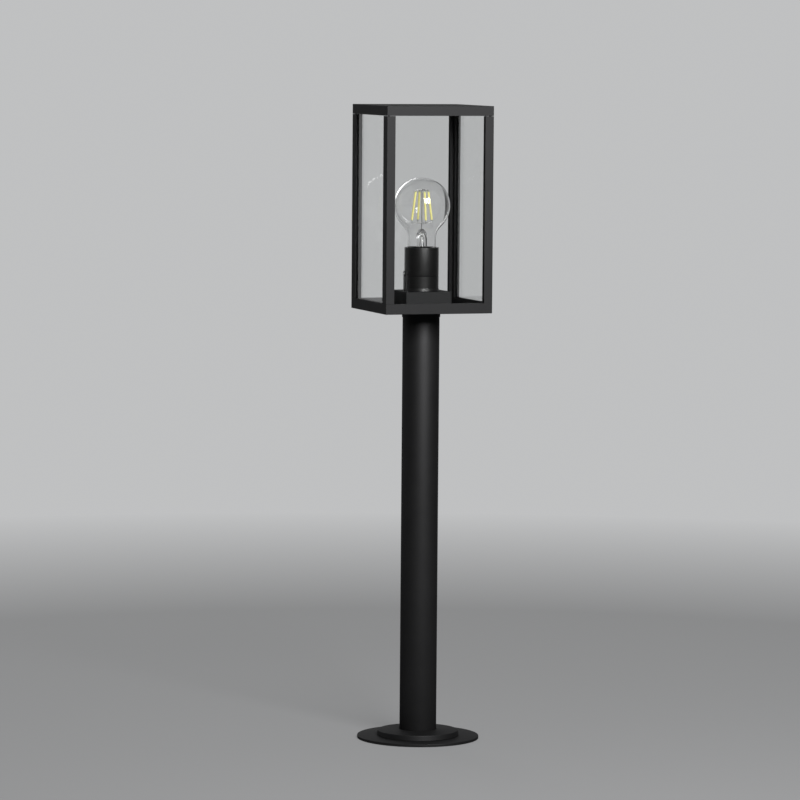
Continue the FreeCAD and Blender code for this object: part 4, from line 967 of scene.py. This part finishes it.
@dataclass
class FootCover(SubAssembly):
    """The pressed cover that slides on the column."""

    body: str = "cover"
    radius: float = 44.5
    inner: float = 20.4
    rim: float = 3.2
    wall: float = 5.6
    rise: float = 1.2
    sheet: float = 1.2
    shoulder: float = 0.9
    draft: float = 0.8
    rim_ease: float = 0.15
    lip_ease: float = 0.25
    inner_ease: float = 0.1
    inner_bend: float = 0.4

    def build(self) -> None:
        """Build the cover as one turned sheet."""
        top, under = self.rim + self.wall, self.rim + self.wall - self.sheet
        centre = (self.radius - self.draft - self.shoulder, top - self.shoulder)
        outside = [
            (self.radius - self.rim_ease, self.rim),
            (self.radius, self.rim + self.rim_ease),
            *arc(centre, self.shoulder, 0, 90, 6),
            (self.inner + self.lip_ease, top + self.rise),
            (self.inner, top + self.rise - self.lip_ease),
        ]
        skirt, ease = self.radius - self.sheet, self.inner_ease
        inside = [
            (self.inner, under + self.rise + ease),
            (self.inner + ease, under + self.rise),
            (skirt - self.inner_bend, under),
            (skirt, under - self.inner_bend),
            (skirt, self.rim + ease),
            (skirt + ease, self.rim),
        ]
        cover = turned("foot_cover", outside + inside, 192)
        self.hand_over(cover, FINISHES.black, "base_cover")


@dataclass
class Column(SubAssembly):
    """The tube and its two set screws."""

    radius: float = 20.0
    wall: float = 2.0
    foot: float = 3.0
    top: float = 465.5
    screw: float = 4.0
    screw_drop: float = 5.0
    screw_proud: float = 0.6
    screw_length: float = 5.0
    screw_bearing: float = -15.0
    hole: float = 2.15
    hole_span: Span = (15, 23)

    def build(self) -> None:
        """Build the tube, drill it and put in the screws."""
        inner = self.radius - self.wall
        outline = [(inner, self.foot), (self.radius, self.foot)]
        outline += [(self.radius, self.top), (inner, self.top)]
        tube = turned("column_tube", eased(outline, 0.3, 2), 160)
        level = self.top - self.screw_drop
        level_out = Matrix.Rotation(math.radians(90), 4, "Y")
        cutters = []
        for bearing in (self.screw_bearing, self.screw_bearing + 180):
            hole = peg("hole", self.hole, *self.hole_span, 32)
            hole.data.transform(level_out)
            cutters.append(moved(hole, 0, 0, level, bearing))
        self.hand_over(drilled(tube, cutters), FINISHES.black, "column")
        screw = SocketScrew(self.screw, self.screw_length, headed=False).make()
        screw.data.transform(level_out)
        reach = self.radius + self.screw_proud
        copies = Copies(Spread.RING, reach, level, len(cutters), self.screw_bearing)
        screws = copies.make("set_screws", screw, FINISHES.black_screws)
        self.hand_over(screws, FINISHES.black_screws, "head_set_screws", dress=False)


@dataclass
class Lantern(SubAssembly):
    """The tray, posts and glass, and the screws seen from below."""

    tray_base: float = 465.5
    corner: float = 57.0
    box_screw_reach: float = 21.5
    small_screw: float = 2.5
    post_screw_length: float = 19.8
    box_screw_length: float = 10.8
    screw_sunk: float = 0.2
    edge: float = 0.22
    glass_edge: float = 0.35

    def screws(
        self, name: str, spread: Spread, reach: float, count: int, length: float, node: str
    ) -> None:
        """Put in one set of screws, up through the tray.

        Args:
            name: The set's name.
            spread: How the screws are set out.
            reach: How far they lie from the lantern's axis, along X and Y.
            count: How many there are.
            length: Their length.
            node: The CAD node that they stand for.
        """
        screw = SocketScrew(self.small_screw, length, facing=Facing.DOWN).make()
        copies = Copies(spread, reach, self.tray_base + self.screw_sunk, count)
        screws = copies.make(name, screw, FINISHES.screws)
        self.hand_over(screws, FINISHES.screws, node, dress=False)

    def build(self) -> None:
        """Build the frame, glaze it and put in the screws."""
        self.hand_over(softened("lantern_tray", "tray", self.edge), FINISHES.black, "lantern_tray")
        for place in ("front_left", "front_right", "rear_left", "rear_right"):
            post = softened(f"post_{place}", f"post_{place}_eased", self.edge)
            self.hand_over(post, FINISHES.black, f"post_{place}")
        for place in ("front", "rear", "left", "right"):
            pane = softened(f"pane_{place}", f"glass_{place}", self.glass_edge, 1)
            self.hand_over(pane, FINISHES.pane, f"pane_{place}")
        length = self.post_screw_length
        self.screws("post_screws_below", Spread.CORNERS, self.corner, 4, length, "post_screws")
        reach, length = self.box_screw_reach, self.box_screw_length
        self.screws("box_screws_below", Spread.DIAGONAL, reach, 2, length, "box_screws")


@dataclass
class Lid(SubAssembly):
    """The lid frame, the roof plate and its screws."""

    body: str = "lid"
    top: float = 687.0
    screw_reach: float = 48.0
    small_screw: float = 2.5
    screw_length: float = 4.0
    screw_sunk: float = 0.2
    edge: float = 0.22

    def build(self) -> None:
        """Build the lid."""
        self.hand_over(softened("lid_frame", "lid_rim", self.edge), FINISHES.black, "lid_frame")
        roof = softened("roof_plate", "roof", self.edge * 0.8)
        self.hand_over(roof, FINISHES.black, "roof_plate")
        screw = SocketScrew(self.small_screw, self.screw_length).make()
        copies = Copies(Spread.CORNERS, self.screw_reach, self.top - self.screw_sunk)
        screws = copies.make("roof_screws_seen", screw, FINISHES.black_screws)
        self.hand_over(screws, FINISHES.black_screws, "roof_screws", dress=False)


@dataclass
class Lampholder(SubAssembly):
    """The box on the tray and the two-part holder on it."""

    radius: float = 18.5
    joint: float = 503.3
    joint_gap: float = 0.2
    top: float = 534.0
    bore: float = 16.7
    edge: float = 0.5
    foot: float = 487.0
    flare: float = 0.9
    box_edge: float = 0.35
    fine_edge: float = 0.15

    def build(self) -> None:
        """Build the box and the holder's two halves."""
        box = softened("terminal_box", "wiring_box", self.box_edge, 3)
        self.hand_over(box, FINISHES.black, "terminal_box")
        lower = softened("holder_cap", "holder_lower", self.fine_edge, 2)
        self.hand_over(lower, FINISHES.holder, "holder_cap")
        base = self.joint + self.joint_gap
        outline = [(self.bore, base), (self.radius, base)]
        outline += [(self.radius, self.top), (self.bore, self.top)]
        upper = turned("holder_upper", eased(outline, self.edge), 128)
        self.hand_over(upper, FINISHES.holder, "holder_skirt")
        inner, outer, peak = self.radius - 0.2, self.radius + self.flare, 3.6 * self.flare
        bead = [(inner, self.foot), (outer, self.foot), (outer, self.foot + 0.4)]
        bead += [(self.radius, self.foot + peak), (inner, self.foot + peak)]
        self.hand_over(turned("holder_flare", eased(bead, 0.2), 128), FINISHES.holder)
        lock = softened("lock_screw", "lock_screw_eased", self.fine_edge)
        self.hand_over(lock, FINISHES.screws, "lock_screw")


@dataclass
class Bulb(SubAssembly):
    """The clear bulb with its cap, stem, rods with a painted glow, and wires.

    A profile holds pairs of radius and height, measured from where its name or comment says.
    """

    body: str = "bulb"
    top: float = 609.3
    globe: float = 30.4
    neck: float = 15.3
    blend: float = 18.0
    wall: float = 0.8
    foot: float = 523.1
    foot_radius: float = 11.65
    # From the foot's radius and the cap's top.
    collar: Profile = ((0, -0.5), (0.5, 0.8))
    # From the neck's radius and the cap's top.
    shoulder: Profile = ((-0.7, 2.8), (-0.15, 3.8), (0, 5))
    # From the axis and the foot.
    stem_outside: Profile = (
        (10.6, 0),
        (9.4, 1.5),
        (7.2, 4),
        (6.0, 7),
        (5.7, 10),
        (5.7, 23),
        (5.3, 26),
        (4.2, 28.5),
        (2.6, 30.3),
        (1.2, 31),
        (0, 31.2),
    )
    stem_inside: Profile = (
        (0, 27),
        (2.6, 25.8),
        (4.4, 23),
        (4.9, 20),
        (4.9, 10),
        (5.2, 7.4),
        (6.4, 4.6),
        (8.6, 2),
        (9.8, 0),
    )
    pump_tube: Profile = (
        (3.4, 1),
        (4.2, 1),
        (1.9, 22),
        (1.0, 24.5),
        (0, 25.2),
        (0, 24.4),
        (1.1, 21),
    )
    pinch: float = 0.45
    pinch_from: float = 20.0
    pinch_over: float = 8.0
    cap_base: float = 509.6
    cap_top: float = 530.6
    cap_radius: float = 13.0
    cap_wave: float = 0.8
    cap_sheet: float = 0.35
    cap_turn_in: float = 1.4
    cap_rim: float = 2.2
    cap_sides: int = 96
    cap_steps: int = 110
    pitch: float = 3.629
    # From the axis and the cap's foot.
    black_ring: Profile = ((5.6, -4), (11.2, -0.2), (11.2, 0), (5.4, 0))
    rod_count: int = 4
    rod_radius: float = 1.15
    rod_length: float = 32.4
    rod_margin: float = 0.9
    rod_end: float = 1.0
    rod_base: float = 562.5
    rod_reach: float = 11.6
    rod_lean: float = 7.8
    rod_first: float = 3.0
    post_radius: float = 0.63
    wire_radius: float = 0.45
    wire_drop: float = 2.4

    def envelope(self) -> bpy.types.Object:
        """Build the glass: a neck, a hollow blend and a globe, with an inner and an outer skin.

        Returns:
            The glass.
        """
        middle = self.top - self.globe
        reach, span = self.neck + self.blend, self.globe + self.blend
        low = middle - math.sqrt(span**2 - reach**2)
        bearing = math.degrees(math.atan2(middle - low, reach))
        outside: Outline = [(self.foot_radius, self.foot)]
        outside += shifted(self.collar, self.foot_radius, self.cap_top)
        outside += shifted(self.shoulder, self.neck, self.cap_top)
        outside += arc((reach, low), self.blend, 180, 180 - bearing, 12)
        outside += arc((0, middle), self.globe, -bearing, 90, 44)[1:-1]
        ahead = outside[1:] + [(0, self.top)]
        ways = [Vector(later) - Vector(spot) for spot, later in zip(outside, ahead)]
        inside = [
            tuple(Vector(spot) + Vector((-way.y, way.x)).normalized() * self.wall)
            for spot, way in zip(outside, ways)
        ]
        skin = outside + [(0, self.top), (0, self.top - self.wall)] + inside[::-1]
        return turned("envelope", skin, 128)

    def stem(self) -> bpy.types.Object:
        """Build the flared stem, pinched flat at its top, with the pumping tube inside.

        Returns:
            The stem.
        """
        skin = shifted(self.stem_outside + self.stem_inside, 0, self.foot)
        flare = turned("flare", skin, 96)
        for vertex in flare.data.vertices:
            share = (vertex.co.z / MM - self.foot - self.pinch_from) / self.pinch_over
            vertex.co.y *= 1 - self.pinch * min(max(share, 0), 1)
        pump = turned("pump", shifted(self.pump_tube, 0, self.foot), 48)
        return merged("glass_stem", [flare, pump])

    def cap(self) -> bpy.types.Object:
        """Build the threaded cap, its thread one running helix that fades out at both ends.

        Returns:
            The cap.
        """
        root = self.cap_radius - self.cap_wave
        rise, steps = self.cap_top - self.cap_base, self.cap_steps
        rows = [(root - self.cap_turn_in, self.cap_base, False)]
        rows += [(root, self.cap_base + rise * step / steps, True) for step in range(steps + 1)]
        floor = self.cap_base + self.cap_sheet
        rows += [
            (radius - self.cap_sheet * threaded, max(level, floor), threaded)
            for radius, level, threaded in rows[::-1]
        ]
        turns = [math.tau * side / self.cap_sides for side in range(self.cap_sides)]
        rings = []
        for radius, level, threaded in rows:
            ring = []
            for turn in turns:
                reach = radius + (self.thread_height(level, turn) if threaded else 0)
                ring.append(Vector((reach * math.cos(turn), reach * math.sin(turn), level)) * MM)
            rings.append(ring)
        return lofted("bulb_cap_threaded", rings, True, 60.0)

    def thread_height(self, level: float, turn: float) -> float:
        """How far the cap's wall stands out.

        Args:
            level: The level on the cap.
            turn: The bearing round it, in radians.

        Returns:
            The height over the thread's root.
        """
        above, below = level - self.cap_base, self.cap_top - level
        if below < self.cap_rim:
            return self.cap_wave * min((self.cap_rim - below) / 0.8 + 0.2, 1.0)
        wave = 0.5 - 0.5 * math.cos(math.tau * (above / self.pitch) - turn)
        fade_in = min(max((above - 0.8) / 2.0, 0), 1)
        fade_out = min((below - 2.0) / 1.5, 1)
        return self.cap_wave * wave * fade_in * fade_out

    def rods(self) -> None:
        """Build the rods, whose glow is painted light, and their metal ends."""
        lean = Matrix.Rotation(math.radians(-self.rod_lean), 4, "Y")
        radius, low, high = self.rod_radius, self.rod_margin, self.rod_length - self.rod_margin
        outline = [(0, low), (radius, low), (radius, high), (0, high)]
        rod = turned("rod", eased(outline, 0.3), 24, False)
        rod.data.transform(lean)
        copies = Copies(Spread.RING, self.rod_reach, self.rod_base, self.rod_count, self.rod_first)
        made = copies.make("lit_rods", rod, FINISHES.phosphor_painted_glow)
        self.hand_over(made, FINISHES.phosphor_painted_glow, "led_filaments", dress=False)
        ends = []
        for low in (0.0, self.rod_length - self.rod_end):
            high = low + self.rod_end
            outline = [(0, low), (radius * 0.8, low), (radius * 0.85, high), (0, high)]
            ends.append(turned("end", outline, 16, False))
        pair = merged("ends", ends)
        pair.data.transform(lean)
        made = copies.make("rod_ends", pair, FINISHES.screws)
        self.hand_over(made, FINISHES.screws, dress=False)

    def wires(self) -> bpy.types.Object:
        """Build the centre post, the cross wires over the rods and the bent wires under them.

        Returns:
            The wires.
        """
        lean = math.radians(self.rod_lean)
        peak = self.rod_base + self.rod_length * math.cos(lean) + self.rod_margin
        tight = self.rod_reach - self.rod_length * math.sin(lean)
        root = self.foot + 31.0
        post = [(0, 0, root - 1), (0, 0, root + 20), (0, 0, peak + 1)]
        pieces = [tube_along("post", post, self.post_radius)]
        up = Vector((0, 0, 1))
        for step in range(self.rod_count):
            turn = math.radians(self.rod_first + 360 / self.rod_count * step)
            way = Vector((math.cos(turn), math.sin(turn), 0))
            over = [up * (peak + 0.4), way * tight * 0.6 + up * (peak + 0.5)]
            over += [way * tight + up * (peak - 0.3)]
            pieces.append(tube_along("over", over, self.wire_radius))
            low = up * (self.rod_base - self.wire_drop)
            under = [low, low + way * 4, low + way * (self.rod_reach - 0.6)]
            under += [low + way * self.rod_reach + up * 0.5]
            under += [way * self.rod_reach + up * (self.rod_base + 0.2)]
            pieces.append(tube_along("under", under, self.wire_radius))
        return merged("rod_wires", pieces)

    def build(self) -> None:
        """Build the bulb from its glass inwards."""
        self.hand_over(self.envelope(), FINISHES.bulb, "bulb_glass")
        self.hand_over(self.stem(), FINISHES.bulb, "bulb_stem")
        self.hand_over(self.cap(), FINISHES.nickel, "bulb_cap")
        ring = eased(shifted(self.black_ring, 0, self.cap_base), 0.3)
        self.hand_over(turned("black_ring", ring), FINISHES.vitrite, "bulb_insulator")
        self.rods()
        self.hand_over(self.wires(), FINISHES.screws, "filament_wires")


@dataclass
class BulbTip(SubAssembly):
    """The solder contact under the bulb, as pairs of radius and height from its base."""

    body: str = "bulb_rise"
    base: float = 504.3
    dome: Profile = ((0, 0), (2.2, 0.1), (3.9, 0.45), (4.7, 0.9), (4.75, 1.2), (0, 1.2))

    def build(self) -> None:
        """Build the contact as a low dome."""
        dome = turned("solder_dome", shifted(self.dome, 0, self.base), 48, False)
        self.hand_over(dome, FINISHES.solder, "bulb_tip")


def dress_kept_nodes() -> None:
    """Give every CAD node that still shows the finish of its slot."""
    finishes = FINISHES.by_slot()
    for row in frame["record"]["subparts"]:
        node = frame["nodes"][row["node"]]
        material = finishes[row["material_slot"]].material()
        for number in range(len(node.material_slots)):
            node.material_slots[number].material = material


# ---- Studio -------------------------------------------------------------------------------------


@dataclass
class SoftBox:
    """A square lamp that the camera doesn't see."""

    name: str
    place_m: Place
    size_m: Span
    power: float
    aim_m: Place = (0, 0, 0.5)

    def make(self) -> None:
        """Hang the lamp and turn it to the object."""
        data = bpy.data.lights.new(self.name, "AREA")
        data.shape = "RECTANGLE"
        data.size, data.size_y = self.size_m
        data.energy = self.power
        lamp = bpy.data.objects.new(self.name, data)
        lamp.visible_camera = False
        lamp.location = self.place_m
        away = Vector(self.place_m) - Vector(self.aim_m)
        lamp.rotation_mode = "QUATERNION"
        lamp.rotation_quaternion = away.to_track_quat("Z", "Y")
        bpy.context.scene.collection.objects.link(lamp)


@dataclass
class Studio:
    """The floor, the pale surroundings, the lamps and the camera."""

    backdrop: Colour = (0.525, 0.53, 0.535)
    dim_side: float = 0.02
    dim_span: Span = (0.15, 0.9)
    fill: float = 0.22
    floor: Colour = (0.24, 0.24, 0.245)
    floor_veil: float = 0.36
    floor_radius_m: float = 12.0
    floor_fade_m: Span = (0.4, 2.2)
    camera_m: Place = (-1.48573, -4.37497, 0.76306)
    heading: float = 0.3226
    dip: float = 0.0852
    roll: float = 0.0077
    focal_px: float = 4287.5
    picture_px: float = 800.0
    sensor: float = 36.0
    boxes: tuple[SoftBox, ...] = (
        SoftBox("front_box", (0.10, -1.48, 1.18), (0.74, 0.64), 27.0),
        SoftBox("rear_box", (-0.10, 2.44, 1.12), (0.75, 0.7), 4.5),
        SoftBox("top_box", (0.3, 0.2, 3.0), (1.4, 1.4), 5.0),
    )

    def set_camera(self) -> None:
        """Put the camera where the photograph was taken from."""
        level = math.cos(self.dip)
        ahead = Vector(
            (math.sin(self.heading) * level, math.cos(self.heading) * level, -math.sin(self.dip))
        )
        right = Vector((math.cos(self.heading), -math.sin(self.heading), 0))
        up = right.cross(ahead)
        right, up = (
            right * math.cos(self.roll) + up * math.sin(self.roll),
            up * math.cos(self.roll) - right * math.sin(self.roll),
        )
        data = bpy.data.cameras.new("view")
        data.sensor_width = self.sensor
        data.lens = self.focal_px / self.picture_px * self.sensor
        data.clip_end = 100.0
        camera = bpy.data.objects.new("view", data)
        turn = Matrix((right, up, -ahead)).transposed().to_4x4()
        camera.matrix_world = Matrix.Translation(self.camera_m) @ turn
        bpy.context.scene.collection.objects.link(camera)
        bpy.context.scene.camera = camera

    def set_world(self) -> None:
        """Surround the object with a pale ground that is dimmer on the camera's side."""
        world = bpy.data.worlds.new("surroundings")
        bpy.context.scene.world = world
        world.use_nodes = True
        web = NodeWeb(world.node_tree)
        path = web.add("ShaderNodeLightPath").outputs
        through = web.math("MAXIMUM", path["Is Glossy Ray"], path["Is Transmission Ray"])
        direct = web.math("MAXIMUM", path["Is Camera Ray"], through)
        mirrored = web.math("MINIMUM", path["Glossy Depth"], 1.0)
        scattered = web.math("MINIMUM", path["Diffuse Depth"], 1.0)
        way = web.add("ShaderNodeTexCoord").outputs["Generated"]
        along = web.add("ShaderNodeSeparateXYZ", {0: way}).outputs["Y"]
        gloss = web.ramp(along, self.dim_span, (self.dim_side, 1.0))
        plain = web.blend(direct, grey(self.fill), grey(1))
        strength = web.blend(scattered, web.blend(mirrored, plain, gloss), grey(self.fill))
        values = {"Color": opaque(self.backdrop), "Strength": strength}
        ground = web.add("ShaderNodeBackground", values)
        web.add("ShaderNodeOutputWorld", {0: ground.outputs[0]})

    def set_floor(self) -> None:
        """Lay a round floor that takes the shadow and fades into the backdrop."""
        work = bmesh.new()
        bmesh.ops.create_circle(work, cap_ends=True, segments=96, radius=self.floor_radius_m)
        floor = finished_mesh(work, "floor")
        material = bpy.data.materials.new("floor_paper")
        material.use_nodes = True
        web = NodeWeb(material.node_tree)
        place = web.add("ShaderNodeTexCoord").outputs["Object"]
        far = web.add("ShaderNodeVectorMath", {0: place}, operation="LENGTH").outputs["Value"]
        mottle = web.noise(2.0, 3.0)
        darker = opaque(tuple(part * 0.97 for part in self.floor))
        colour = web.blend(mottle, darker, opaque(self.floor))
        values = {"Base Color": colour, "Roughness": 0.8, "Specular IOR Level": 0.2}
        paper = web.add("ShaderNodeBsdfPrincipled", values)
        path = web.add("ShaderNodeLightPath").outputs
        direct = web.math("MAXIMUM", path["Is Camera Ray"], path["Is Transmission Ray"])
        across = web.add("ShaderNodeSeparateXYZ", {0: place}).outputs["Y"]
        side = web.math("DIVIDE", across, far)
        mirrored = web.ramp(side, self.dim_span, (self.dim_side, 1.0))
        strength = web.blend(direct, mirrored, grey(1))
        values = {"Color": opaque(self.backdrop), "Strength": strength}
        glow = web.add("ShaderNodeEmission", values)
        veil = web.math("MULTIPLY", direct, self.floor_veil)
        share = web.math("MAXIMUM", web.ramp(far, self.floor_fade_m, (0.0, 1.0)), veil)
        mixed = {0: share, 1: paper.outputs[0], 2: glow.outputs[0]}
        shown = web.add("ShaderNodeMixShader", mixed)
        web.add("ShaderNodeOutputMaterial", {0: shown.outputs[0]})
        floor.data.materials.append(material)

    def build(self) -> None:
        """Set up the camera, the surroundings, the floor and the lamps."""
        self.set_camera()
        self.set_world()
        self.set_floor()
        for lamp in self.boxes:
            lamp.make()
        bpy.context.scene.view_settings.view_transform = "Standard"


# ---- Whole lamp ---------------------------------------------------------------------------------


def main() -> None:
    """Build the lamp's pieces in order, logging which body each rides on, then the studio."""
    logging.basicConfig(level=logging.INFO, format="%(name)s: %(message)s")
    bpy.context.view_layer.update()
    dress_kept_nodes()
    parts = (Foot(), FootCover(), Column(), Lantern(), Lid(), Lampholder(), Bulb(), BulbTip())
    for part in parts:
        part.build()
        for note in part.notes:
            LOG.info(note)
    Studio().build()


if __name__ == "__main__":
    main()
